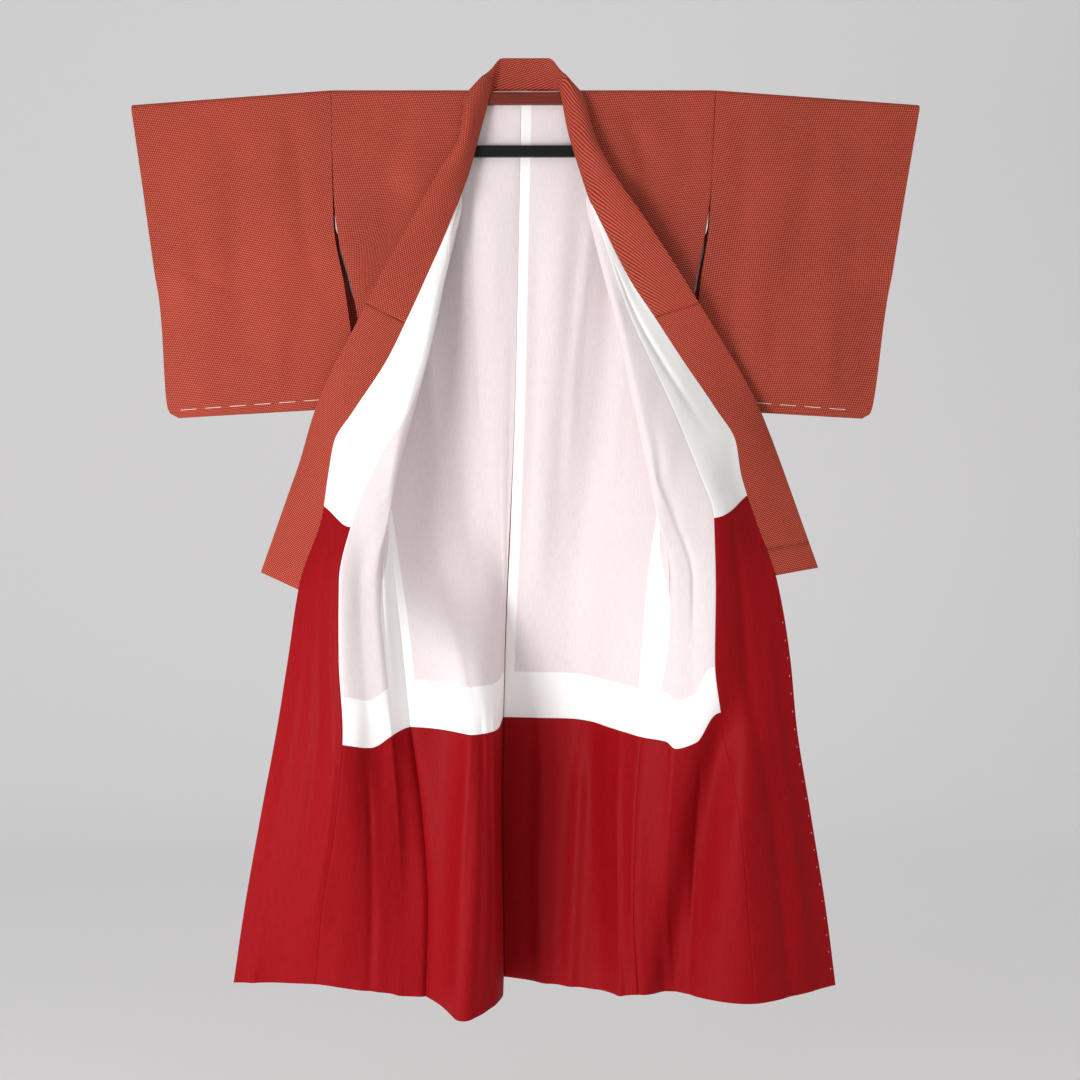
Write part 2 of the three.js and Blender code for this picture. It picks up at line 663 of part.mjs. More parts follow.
function collarSide(side, seamPoints) {
  const sign = side === "left" ? -1 : 1;
  const curves = columnCurves(COLLAR[side]);
  const firstRow = FOLD_TURNS.length - 1;
  return rowList(firstRow, COLLAR_END_ROW).map((row) => {
    const seam = seamPoints[row];
    const at = Object.fromEntries(COLLAR_COLUMNS.slice(1).map((name) => [name, curves[name](seam.z)]));
    const free = new THREE.Vector3(sign * at.free, at.freeY, at.freeZ);
    return collarRung(seam, free, at.belly, at.lift);
  });
}

function neckRungs(sign) {
  return NECK.seam.map((_, i) => collarRung(
    new THREE.Vector3(sign * NECK.seam[i], NECK.seamY[i], NECK.seamZ[i]),
    new THREE.Vector3(sign * NECK.free[i], NECK.freeY[i], NECK.freeZ[i]), NECK.belly[i], 0));
}

function addCollarPiece(name, rungs, trims) {
  const grid = gridOf(rungs.map((_, i) => i), () => COLLAR_STEPS.map((_, j) => j),
    (i, j) => rungs[i][j], 1);
  const half = COLLAR_THICKNESS / 2;
  addPiece(name, wallGeometry(trimmed(grid, trims), -half, half), PATTERNED_SILK);
}

const seams = { left: addBodySide("left"), right: addBodySide("right") };
const collar = { left: collarSide("left", seams.left), right: collarSide("right", seams.right) };
const overcollarRows = OVERCOLLAR_ROW - FOLD_TURNS.length + 2;
const neckAndOvercollar = [
  ...collar.left.slice(0, overcollarRows).reverse(),
  ...neckRungs(-1).reverse(),
  ...neckRungs(1).slice(1),
  ...collar.right.slice(0, overcollarRows),
];
const flatRungs = OVERCOLLAR_ROW - NECK_END_ROW;
const neckTrim = (rung) => {
  const nearEnd = rung < flatRungs || rung >= neckAndOvercollar.length - flatRungs;
  return nearEnd ? EDGE_TRIM : COLLAR_NECK_TRIM;
};
addCollarPiece("collar_neck", neckAndOvercollar,
  { first: neckTrim, top: halfGap, bottom: halfGap });
for (const side of ["left", "right"]) {
  addCollarPiece(`collar_${side}`, collar[side].slice(overcollarRows - 1),
    { first: EDGE_TRIM, top: halfGap });
}

// Sleeve: a flat tube whose front and back walls join over the arm and along the bottom. It is
// open to the body side, and at the outer side down to the end of the cuff opening.
function addSleeve(side) {
  const sign = side === "left" ? -1 : 1;
  const edge = (name) => {
    const { share, x, z } = SLEEVE_EDGES[side][name];
    return { x: smoothCurve(share, x), z: smoothCurve(share, z) };
  };
  const [inner, outer] = [edge("inner"), edge("outer")];
  const bodyEdge = columnCurves(FRONT[side]);
  const mix = THREE.MathUtils.lerp;
  const middlePoint = (share, step) => new THREE.Vector3(
    sign * mix(inner.x(share), outer.x(share), step), 0, mix(inner.z(share), outer.z(share), step));
  const halfDepth = (share, step) => {
    const swell = Math.sin(Math.PI * Math.min(share * 1.25, 1) * 0.5);
    const towardHem = THREE.MathUtils.smoothstep(share, 0.8, 1);
    const rounded = mix(ROLL_RADIUS, SLEEVE_FULLNESS, swell) * (1 - 0.75 * towardHem);
    const besideBody = -bodyEdge.sideY(inner.z(share));
    const atBody = share < JOINED_SHARE ? besideBody : rounded;
    const closing = THREE.MathUtils.smoothstep(share, CUFF_OPENING_SHARE, CUFF_OPENING_SHARE + 0.1);
    const pinch = closing * THREE.MathUtils.smoothstep(step, 0.72, 1);
    const open = mix(atBody, rounded, THREE.MathUtils.smoothstep(step, 0, 0.3));
    return mix(open, CLOSED_HALF_WIDTH, pinch);
  };
  const topRow = (turn, facing, step) => {
    const angle = (turn * Math.PI) / 2;
    const point = middlePoint(0, step);
    point.y = facing * ROLL_RADIUS * Math.sin(angle);
    point.z += ROLL_RADIUS * Math.cos(angle);
    return point;
  };
  const wallRow = (share, facing, step) => {
    const point = middlePoint(share, step);
    point.y = facing * halfDepth(share, step);
    return point;
  };
  const ring = (step) => [
    ...[...SLEEVE_TURNS].reverse().map((turn) => topRow(turn, 1, step)),
    topRow(0, 1, step),
    ...SLEEVE_TURNS.map((turn) => topRow(turn, -1, step)),
    ...SLEEVE_ROWS.map((share) => wallRow(share, -1, step)),
    middlePoint(1, step),
    ...[...SLEEVE_ROWS].reverse().map((share) => wallRow(share, 1, step)),
  ];
  const rings = SLEEVE_STEPS.map(ring);
  addPiece(`sleeve_${side}`, tubeGeometry(rings, sign), PATTERNED_SILK);
}

// A closed wall through rings of points, from its lining side to its outer side
function tubeGeometry(rings, sign) {
  const count = rings[0].length;
  const normalAt = (i, j) => {
    const along = new THREE.Vector3().subVectors(
      rings[Math.min(i + 1, rings.length - 1)][j], rings[Math.max(i - 1, 0)][j]);
    const around = new THREE.Vector3().subVectors(
      rings[i][(j + 1) % count], rings[i][(j + count - 1) % count]);
    return around.cross(along).normalize().multiplyScalar(sign);
  };
  const positions = [];
  for (const offset of [OUTER_REACH, -LINING_REACH]) {
    rings.forEach((ring, i) => ring.forEach((p, j) => {
      positions.push(...p.clone().addScaledVector(normalAt(i, j), offset).toArray());
    }));
  }
  const layer = rings.length * count;
  const at = (i, j, k) => k * layer + i * count + (j % count);
  const index = [];
  const quad = (a, b, c, d) => {
    if (sign > 0) index.push(a, b, c, a, c, d);
    else index.push(a, c, b, a, d, c);
  };
  for (let j = 0; j < count; j += 1) {
    for (let i = 0; i < rings.length - 1; i += 1) {
      quad(at(i, j, 0), at(i, j + 1, 0), at(i + 1, j + 1, 0), at(i + 1, j, 0));
      quad(at(i, j, 1), at(i + 1, j, 1), at(i + 1, j + 1, 1), at(i, j + 1, 1));
    }
    quad(at(0, j, 0), at(0, j, 1), at(0, j + 1, 1), at(0, j + 1, 0));
    const end = rings.length - 1;
    quad(at(end, j, 0), at(end, j + 1, 0), at(end, j + 1, 1), at(end, j, 1));
  }
  const geometry = new THREE.BufferGeometry();
  geometry.setAttribute("position", new THREE.Float32BufferAttribute(positions, 3));
  geometry.setIndex(index);
  geometry.computeVertexNormals();
  return geometry;
}

addSleeve("left");
addSleeve("right");

// Bar section with a round top, extruded along the bar
function barGeometry(length) {
  const half = BAR_THICKNESS / 2;
  const section = new THREE.Shape();
  section.moveTo(-half, BAR_BOTTOM);
  section.lineTo(half, BAR_BOTTOM);
  section.lineTo(half, ROLL_CENTRE_Z);
  section.absarc(0, ROLL_CENTRE_Z, half, 0, Math.PI, false);
  const settings = { depth: length, bevelEnabled: false, curveSegments: 12 };
  const geometry = new THREE.ExtrudeGeometry(section, settings);
  geometry.translate(0, 0, -length / 2);
  geometry.rotateX(Math.PI / 2);
  geometry.rotateZ(Math.PI / 2);
  return geometry;
}

const hanger = new THREE.Group();
kimono.add(hanger);
addPiece("shoulder_bar", barGeometry(2 * BAR_HALF_LENGTH), BROWN_BAR, hanger);
for (const [name, sign] of [["left", -1], ["right", 1]]) {
  const arm = new THREE.Group();
  arm.position.x = sign * (BAR_HALF_LENGTH + LAYER_GAP);
  arm.rotation.y = sign * ARM_DROOP;
  hanger.add(arm);
  const rod = addPiece(`arm_${name}`, barGeometry(ARM_LENGTH), BROWN_BAR, arm);
  rod.position.x = sign * (ARM_LENGTH / 2 + 2 * LAYER_GAP);
  const strutTop = BAR_BOTTOM - LAYER_GAP;
  const strutBottom = LOWER_BAR.centreZ + LOWER_BAR.height / 2 + LAYER_GAP;
  const plate = new THREE.BoxGeometry(STRUT.width, STRUT.thickness, strutTop - strutBottom);
  const strut = addPiece(`strut_${name}`, plate, BLACK_BAR, hanger);
  strut.position.set(sign * STRUT.offset, 0, (strutTop + strutBottom) / 2);
}
const barShape = new THREE.BoxGeometry(LOWER_BAR.length, LOWER_BAR.thickness, LOWER_BAR.height);
const lowerBar = addPiece("lower_bar", barShape, BLACK_BAR, hanger);
lowerBar.position.z = LOWER_BAR.centreZ;

export default kimono;
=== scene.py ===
"""Lined kimono hung open on a two-bar hanger.

Metres in Blender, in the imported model's frame: X to the viewer's right, the open front faces
-Y, Z up, and the origin at the middle of the shoulder bar. The garment's sizes below are in
millimetres, as a maker would note them, and are turned to metres when a mesh is made.
"left" and "right" are as seen from the front.
"""

import math

import bpy
import numpy as np
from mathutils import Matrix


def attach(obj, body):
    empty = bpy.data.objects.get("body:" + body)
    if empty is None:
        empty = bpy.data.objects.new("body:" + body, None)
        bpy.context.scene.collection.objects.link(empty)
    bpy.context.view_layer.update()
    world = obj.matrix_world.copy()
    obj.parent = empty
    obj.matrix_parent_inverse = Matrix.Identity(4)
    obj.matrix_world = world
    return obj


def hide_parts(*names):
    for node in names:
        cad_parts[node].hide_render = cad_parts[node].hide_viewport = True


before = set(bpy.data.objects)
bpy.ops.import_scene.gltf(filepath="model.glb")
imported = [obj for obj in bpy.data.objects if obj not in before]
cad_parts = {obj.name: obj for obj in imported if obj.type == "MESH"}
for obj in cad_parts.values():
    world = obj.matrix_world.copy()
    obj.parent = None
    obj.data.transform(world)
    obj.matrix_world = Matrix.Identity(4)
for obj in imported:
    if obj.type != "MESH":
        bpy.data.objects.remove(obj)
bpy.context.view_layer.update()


# Shoulder bar and its two arms: a stained and varnished wooden section with a round top. The
# varnish gives the eye a warm red-brown with faint lengthwise grain and a soft shine.

def linear(code):
    """sRGB hex turned linear: below 0.04045 a straight line, above it a 2.4 power."""
    values = [int(code[i:i + 2], 16) / 255 for i in (1, 3, 5)]
    return [v / 12.92 if v <= 0.04045 else ((v + 0.055) / 1.055) ** 2.4 for v in values] + [1.0]


def add_node(tree, kind, settings=None, links=None):
    """One shader node: settings are its properties or its inputs' values, links its inputs."""
    node = tree.nodes.new("ShaderNode" + kind)
    for name, value in (settings or {}).items():
        if isinstance(name, str) and hasattr(node, name) and name not in node.inputs:
            setattr(node, name, value)
        else:
            node.inputs[name].default_value = value
    for name, source in (links or {}).items():
        tree.links.new(source, node.inputs[name])
    return node


def new_material(name, **shader):
    """A material with its Principled shader's own sockets set, and its texture coordinates."""
    material = bpy.data.materials.new(name)
    material.use_nodes = True
    tree = material.node_tree
    surface = tree.nodes["Principled BSDF"]
    for socket, value in shader.items():
        surface.inputs[socket.replace("_", " ")].default_value = value
    return material, tree, surface, add_node(tree, "TexCoord").outputs


def two_tone(tree, factor, low, high):
    """A colour that goes from low to high as the factor goes from 0.3 to 0.7."""
    ramp = add_node(tree, "ValToRGB", links={"Fac": factor})
    for stop, position, tone in zip(ramp.color_ramp.elements, (0.3, 0.7), (low, high)):
        stop.position = position
        stop.color = linear(tone)
    return ramp.outputs["Color"]


def noise(tree, coordinates, scale, detail, roughness=0.5):
    """An uneven field: scale is its cells in a metre, detail the number of finer layers."""
    return add_node(tree, "TexNoise", {"Scale": scale, "Detail": detail, "Roughness": roughness},
                    {"Vector": coordinates}).outputs["Fac"]


def grain(tree, coordinates, cells, detail, roughness=0.5):
    """A field drawn out lengthwise: cells is how many there are in a metre along each axis."""
    drawn = add_node(tree, "Mapping", {"Scale": cells}, {"Vector": coordinates})
    return noise(tree, drawn.outputs[0], 1.0, detail, roughness)


def relief(tree, surface, height, strength, distance):
    """A bump of the surface, its distance in metres."""
    bump = add_node(tree, "Bump", {"Strength": strength, "Distance": distance}, {"Height": height})
    tree.links.new(bump.outputs[0], surface.inputs["Normal"])


varnished_wood, tree, surface, place = new_material(
    "varnished_wood", Roughness=0.5, Specular_IOR_Level=0.25)
fibres = grain(tree, place["Object"], (14, 220, 220), 6.0, 0.6)
tree.links.new(two_tone(tree, fibres, "#5a1c11", "#7b2b1b"), surface.inputs["Base Color"])
relief(tree, surface, fibres, 0.15, 0.0004)


def dress_node(name, material):
    """Give a node that keeps its CAD shape its finish."""
    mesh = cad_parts[name].data
    mesh.materials.clear()
    mesh.materials.append(material)


for node_name in ("shoulder_bar", "arm_left", "arm_right"):
    dress_node(node_name, varnished_wood)


# Lower bar and the two plates that join it to the shoulder bar: moulded ABS, black, with the
# fine even grain of a textured mould that keeps the shine broad and dull.
moulded_black, tree, surface, place = new_material(
    "black_moulded_abs", Base_Color=linear("#0c0c0e"), Roughness=0.55, Specular_IOR_Level=0.2)
relief(tree, surface, noise(tree, place["Object"], 1800.0, 2.0), 0.2, 0.0002)
for node_name in ("lower_bar", "strut_left", "strut_right"):
    dress_node(node_name, moulded_black)


# Body: each side is one length of patterned silk, 300 mm wide, that runs from the back hem
# over the shoulder to the front hem. It hangs from the shoulder bar; the fronts turn back on
# themselves in a soft roll and show the lining. The same middle surface carries the linings.

ROLL_CENTRE_Z = 2.0
ROLL_RADIUS = 7.6
SLIT_BOTTOM = -350.0
BACK_EDGE_REACH = 4.0
HEM = 3.0

CENTRE = {
    "z": [2, -60, -300, -510, -680, -900, -1150, -1440],
    "x": [-7, -8, -13, -18, -25, -35, -40, -37],
    "y": [7.5, 10, 18, 28, 38, 44, 46, 46],
}
BACK_COLUMNS = ["z", "quarter", "quarterY", "bulge", "bulgeY"]
BACK = {"left": [
    [2, 107, 7.5, 210, 7.5],
    [-170, 108, 13, 208, 13],
    [-360, 104, 22, 196, 18],
    [-510, 96, 32, 186, 24],
    [-680, 80, 34, 160, 14],
    [-780, 62, 16, 132, -14],
    [-900, 48, -30, 96, -78],
    [-1010, 43, -70, 80, -112],
    [-1150, 41, -78, 84, -124],
    [-1300, 37, -70, 90, -130],
    [-1440, 36, -55, 95, -132],
], "right": [
    [2, 121, 7.5, 210, 7.5],
    [-170, 112, 13, 204, 13],
    [-360, 98, 24, 190, 20],
    [-510, 88, 36, 182, 24],
    [-680, 76, 44, 160, 10],
    [-780, 68, 44, 146, -10],
    [-900, 66, 40, 138, -28],
    [-1010, 72, 34, 138, -34],
    [-1150, 75, 28, 136, -34],
    [-1300, 73, 20, 138, -38],
    [-1440, 71, 12, 142, -42],
]}
FRONT_COLUMNS = [
    "z", "side", "sideY", "roll", "rollY", "turn", "radius", "okumi", "okumiY", "edge", "edgeY",
]
FRONT = {"left": [
    [2, 314, -7.5, 84, -7.5, 0, 6, 70, -7.6, 57.5, -7.8],
    [-60, 313, -10, 101, -12, 0, 6, 87, -13, 74, -14],
    [-120, 311, -11, 114, -15, 0, 6, 101, -17, 90, -19],
    [-170, 309, -12, 103, -20, 0.6, 8, 107, -26, 107, -31],
    [-230, 302, -13, 114, -30, 1, 7, 124, -31, 130, -31],
    [-300, 283, -13, 130, -42, 1, 8, 146, -42, 160, -37],
    [-360, 272, -1, 141, -56, 1, 9, 164, -50, 187, -41],
    [-430, 266, -3, 156, -72, 1, 10, 188, -61, 221, -44],
    [-510, 258, -12, 176, -90, 1, 11, 201, -84, 273, -46],
    [-560, 248, -30, 189, -98, 1, 11, 222, -94, 304, -50],
    [-610, 236, -50, 201, -104, 1, 9, 241, -101, 312, -58],
    [-680, 219, -74, 213, -112, 0.5, 7, 267, -118, 321, -70],
    [-780, 206, -82, 232, -116, 0, 7, 287, -140, 353, -88],
    [-900, 192, -86, 224, -124, 0, 7, 286, -150, 371, -95],
    [-1010, 181, -88, 214, -122, 0, 7, 280, -150, 389, -90],
    [-1150, 163, -90, 207, -108, 0, 7, 293, -125, 417, -75],
    [-1300, 154, -86, 206, -90, 0, 7, 319, -90, 446, -55],
    [-1440, 158, -80, 212, -84, 0, 7, 334, -60, 469, -35],
], "right": [
    [2, 307, -7.5, 84, -7.5, 0, 6, 70, -7.6, 57.5, -7.8],
    [-60, 304, -10, 97, -12, 0, 6, 83, -13, 70, -14],
    [-120, 302, -11, 112, -15, 0, 6, 100, -17, 88, -19],
    [-170, 298, -12, 99, -20, 0.6, 8, 103, -26, 104, -31],
    [-230, 289, -13, 111, -30, 1, 7, 124, -31, 132, -31],
    [-300, 275, -13, 128, -42, 1, 8, 146, -42, 167, -37],
    [-360, 268, -1, 143, -56, 1, 9, 167, -52, 206, -41],
    [-430, 264, -3, 157, -72, 1, 10, 198, -64, 251, -44],
    [-510, 256, -12, 173, -90, 1, 11, 234, -78, 305, -46],
    [-560, 246, -30, 184, -98, 1, 11, 254, -86, 335, -50],
    [-610, 235, -50, 194, -104, 1, 9, 273, -96, 342, -58],
    [-680, 217, -72, 208, -112, 0.5, 7, 295, -110, 363, -68],
    [-780, 203, -82, 236, -120, 0, 7, 296, -128, 396, -88],
    [-900, 194, -86, 236, -122, 0, 7, 294, -136, 416, -92],
    [-1010, 185, -88, 236, -120, 0, 7, 309, -138, 427, -88],
    [-1150, 175, -86, 232, -108, 0, 7, 334, -128, 451, -75],
    [-1300, 172, -78, 236, -94, 0, 7, 348, -116, 477, -58],
    [-1440, 180, -68, 246, -84, 0, 7, 359, -105, 497, -40],
]}

# Heights at which the white lining of the overlap ends, the pale lining ends, and the hem
LINES = {"left": [
    [-690, -690, -690, -690, -690, -692, -694, -695, -663],
    [-1009, -1014, -1019, -1010, -1018, -1024, -1038, -1030, -1022],
    [-1437, -1440, -1461, -1440, -1438, -1434, -1428, -1420, -1425],
], "right": [
    [-690, -690, -690, -690, -688, -686, -683, -681, -646],
    [-1010, -1011, -1018, -1026, -1030, -1040, -1030, -983, -990],
    [-1437, -1443, -1443, -1438, -1437, -1437, -1438, -1440, -1428],
]}

# Knot of the overlap seam for each share of the way down
OVERLAP_TOP = 0.275
SEAM_SHARES = [0, 0.235, 0.275, 0.35, 0.425, 0.56, 0.65, 0.74, 0.82, 0.91, 3]
SEAM_KNOTS = {
    "left": [5, 5, 4.6, 3, 2, 2, 2.2, 2.8, 3.8, 4, 4],
    "right": [5, 5, 4.6, 4, 4, 4, 4, 4, 4, 4, 4],
}

# Folds: troughs (depth above 0) and ridges (below 0). Columns: from and to which knot, from
# and to which height, width in knots, and depth, mm
FRONT_FOLDS = {"left": [
    [0.78, 0.18, 10, -330, 0.13, 8],
    [0.62, 0.42, -20, -210, 0.035, -2.6],
    [0.9, 0.55, 0, -150, 0.04, 2.9],
    [0.3, 0.12, -60, -330, 0.045, 2.6],
    [1.25, 1.0, -470, -900, 0.16, 4.2],
    [0.55, 0.7, -420, -980, 0.3, -2],
    [0.6, 0.45, -760, -1440, 0.35, 2],
    [1.55, 1.15, -860, -1440, 0.4, -2],
    [3.1, 2.7, -1060, -1430, 0.12, 4.5],
    [4.5, 4.35, -560, -1420, 0.08, 4.2],
    [4.75, 4.8, -760, -1430, 0.05, -2.6],
    [4.25, 4.1, -720, -1380, 0.06, -2.9],
    [4.4, 4.15, -380, -640, 0.1, 2.9],
], "right": [
    [0.97, 0.34, 10, -330, 0.13, 8],
    [0.4, 0.06, 10, -260, 0.08, 6.4],
    [0.7, 0.5, -10, -200, 0.04, -2.9],
    [0.2, 0.3, -40, -240, 0.04, 2.2],
    [1.3, 1.05, -480, -940, 0.15, 3.8],
    [0.6, 0.72, -420, -960, 0.3, -2],
    [0.7, 0.35, -760, -1440, 0.35, 2],
    [1.7, 1.3, -900, -1440, 0.4, -2],
    [3.3, 3.0, -520, -900, 0.14, 3.5],
    [3.2, 2.4, -1040, -1440, 0.1, 4.2],
    [4.45, 4.5, -600, -1430, 0.08, 3.8],
    [4.75, 4.7, -820, -1430, 0.05, -2.6],
    [4.3, 4.45, -260, -560, 0.1, 3.2],
]}

# The wide troughs of the red lining, placed by even steps from the side seam (0) to the
# overlap's edge (5), because the knots lie close together beside the seam down there
LOW_FOLDS = {
    "left": [[1.1, 0.7, -960, -1440, 0.7, 13], [2.4, 2.0, -1000, -1440, 0.6, -5]],
    "right": [[2.9, 0.85, -920, -1440, 0.6, 36], [3.3, 2.2, -1000, -1440, 0.7, -6]],
}

# How far the side seams hang back below the hip, and how deep the seam dents the red lining
SIDE_SINK = {"left": 13, "right": 3}
SINK_HEIGHTS = (950, 1180)
SEAM_DENT = 3.2
DENT_HEIGHTS = (980, 1060)
BACK_FOLDS = {"left": [
    [0.5, 0.35, -60, -760, 0.28, 9],
    [1.35, 1.2, -60, -800, 0.3, -9],
    [2.5, 2.5, -860, -1440, 0.3, -12],
    [0.85, 0.72, -90, -620, 0.07, -3.5],
    [1.75, 1.55, -120, -700, 0.09, 3.8],
    [2.35, 2.2, -60, -560, 0.08, 3.2],
    [0.2, 0.18, -300, -900, 0.05, 2.6],
    [1.3, 1.35, -880, -1450, 0.08, 4.2],
    [1.75, 1.7, -940, -1450, 0.07, -3.8],
    [2.1, 2.2, -820, -1440, 0.1, 4.8],
], "right": [
    [0.55, 0.5, -60, -900, 0.22, 10],
    [1.4, 1.3, -60, -900, 0.3, -9],
    [1.55, 1.7, -900, -1440, 0.28, -11],
    [0.25, 0.3, -160, -860, 0.05, -2.9],
    [0.95, 0.85, -90, -700, 0.07, 3.8],
    [1.8, 1.6, -120, -760, 0.09, 3.5],
    [2.4, 2.25, -60, -620, 0.08, 3.2],
    [0.5, 0.6, -900, -1440, 0.1, 4.8],
    [1.2, 1.0, -1040, -1440, 0.14, 9],
    [2.3, 2.2, -900, -1440, 0.12, 5.4],
]}


def columns(names, rows):
    """A table's rows as one array for each named column."""
    return dict(zip(names, np.array(rows, float).T))


def tangents(slopes):
    """Slopes at the knots of a monotone cubic: at each knot the harmonic mean of the slopes on
    its two sides, or 0 where these have opposite signs."""
    before, after = slopes[:-1], slopes[1:]
    same = before * after > 0
    inner = np.where(same, 2 * before * after / np.where(same, before + after, 1), 0)
    return np.concatenate([slopes[:1], inner, slopes[-1:]])


def cubic(t, start, start_slope, end, end_slope):
    """Hermite cubic between two knots, for t from 0 to 1."""
    return ((2 * t**3 - 3 * t**2 + 1) * start + (t**3 - 2 * t**2 + t) * start_slope
            + (3 * t**2 - 2 * t**3) * end + (t**3 - t**2) * end_slope)


def smooth_curve(knots, values):
    """Monotone cubic through each point, as a function of the place along the knots."""
    knots, values = np.asarray(knots, float), np.asarray(values, float)
    slopes = tangents(np.diff(values) / np.diff(knots))

    def curve(place):
        place = np.clip(place, knots[0], knots[-1])
        i = np.clip(np.searchsorted(knots, place) - 1, 0, len(knots) - 2)
        step = knots[i + 1] - knots[i]
        return cubic((place - knots[i]) / step, values[i], step * slopes[i],
                     values[i + 1], step * slopes[i + 1])
    return curve


def by_height(names, rows):
    """Each column of a table as a smooth curve of the height."""
    table = columns(names, rows)
    return {name: smooth_curve(table["z"][::-1], values[::-1])
            for name, values in table.items() if name != "z"}


def pick(stack, index):
    """From a stack of arrays, each point's own layer."""
    return np.take_along_axis(stack, index[None], axis=0)[0]


def through_knots(knot_values, knot):
    """Monotone cubic across the knots, worked out for every point at once, because each point
    has its own knot values: a stack of arrays, one for each knot."""
    values = np.stack(knot_values)
    slopes = tangents(np.diff(values, axis=0))
    i = np.clip(knot.astype(int), 0, len(values) - 2)
    return cubic(np.clip(knot - i, 0, 1), pick(values, i), pick(slopes, i),
                 pick(values, i + 1), pick(slopes, i + 1))


def smooth_step(value, low, high):
    """0 below low, 1 above high, and a cubic between."""
    t = np.clip((value - low) / (high - low), 0, 1)
    return t * t * (3 - 2 * t)


BROAD_FOLD = 8
RUNS_TO_HEM = -1425


def fold_depth(folds, knot, z):
    """Sum of the folds: across each its depth falls off as a bell, and fades in from the top
    end. One that doesn't run to the hem fades at its bottom end, and the line and depth of one
    shallower than a broad fold wander and swell a little."""
    total = np.zeros_like(knot)
    for number, (start, end, top, bottom, width, depth) in enumerate(folds):
        along = (top - z) / (top - bottom)
        uneven = abs(depth) < BROAD_FOLD
        wander = 0.3 * width * np.sin(along * 7.0 + 1.7 * number) * uneven
        swell = 1 + 0.25 * np.sin(along * 11.0 + 2.3 * number) * uneven
        fade = smooth_step(along, 0, 0.25)
        if bottom > RUNS_TO_HEM:
            fade = fade * (1 - smooth_step(along, 0.7, 1.0))
        bell = np.exp(-((knot - start - (end - start) * along - wander) / width) ** 2)
        total += depth * fade * swell * bell
    return total


# Breadth, length and depth of the waves in the hang of the silk, mm
HANG_WAVES = ((150, 900, 1.5), (92, 620, 1.1), (57, 440, 0.6), (36, 330, 0.26), (23, 240, 0.1))
FULL_TURN = 6.28


def unevenness(across, z, seed):
    """Soft hang of the silk: sine waves across that run down the cloth, each with its own lean
    and phase, swaying and swelling as slower sine waves of the height."""
    random = np.random.default_rng(seed)
    total = np.zeros_like(z)
    for breadth, length, depth in HANG_WAVES:
        phase = random.uniform(0, FULL_TURN)
        lean = random.uniform(-1, 1)
        drift = random.uniform(0, FULL_TURN)
        run = FULL_TURN * across / breadth + lean * z / 150 + phase
        total += depth * np.sin(run + 0.8 * np.sin(FULL_TURN * z / length + drift)) * (
            0.65 + 0.35 * np.sin(FULL_TURN * z / (1.7 * length) + 2 * drift))
    return total


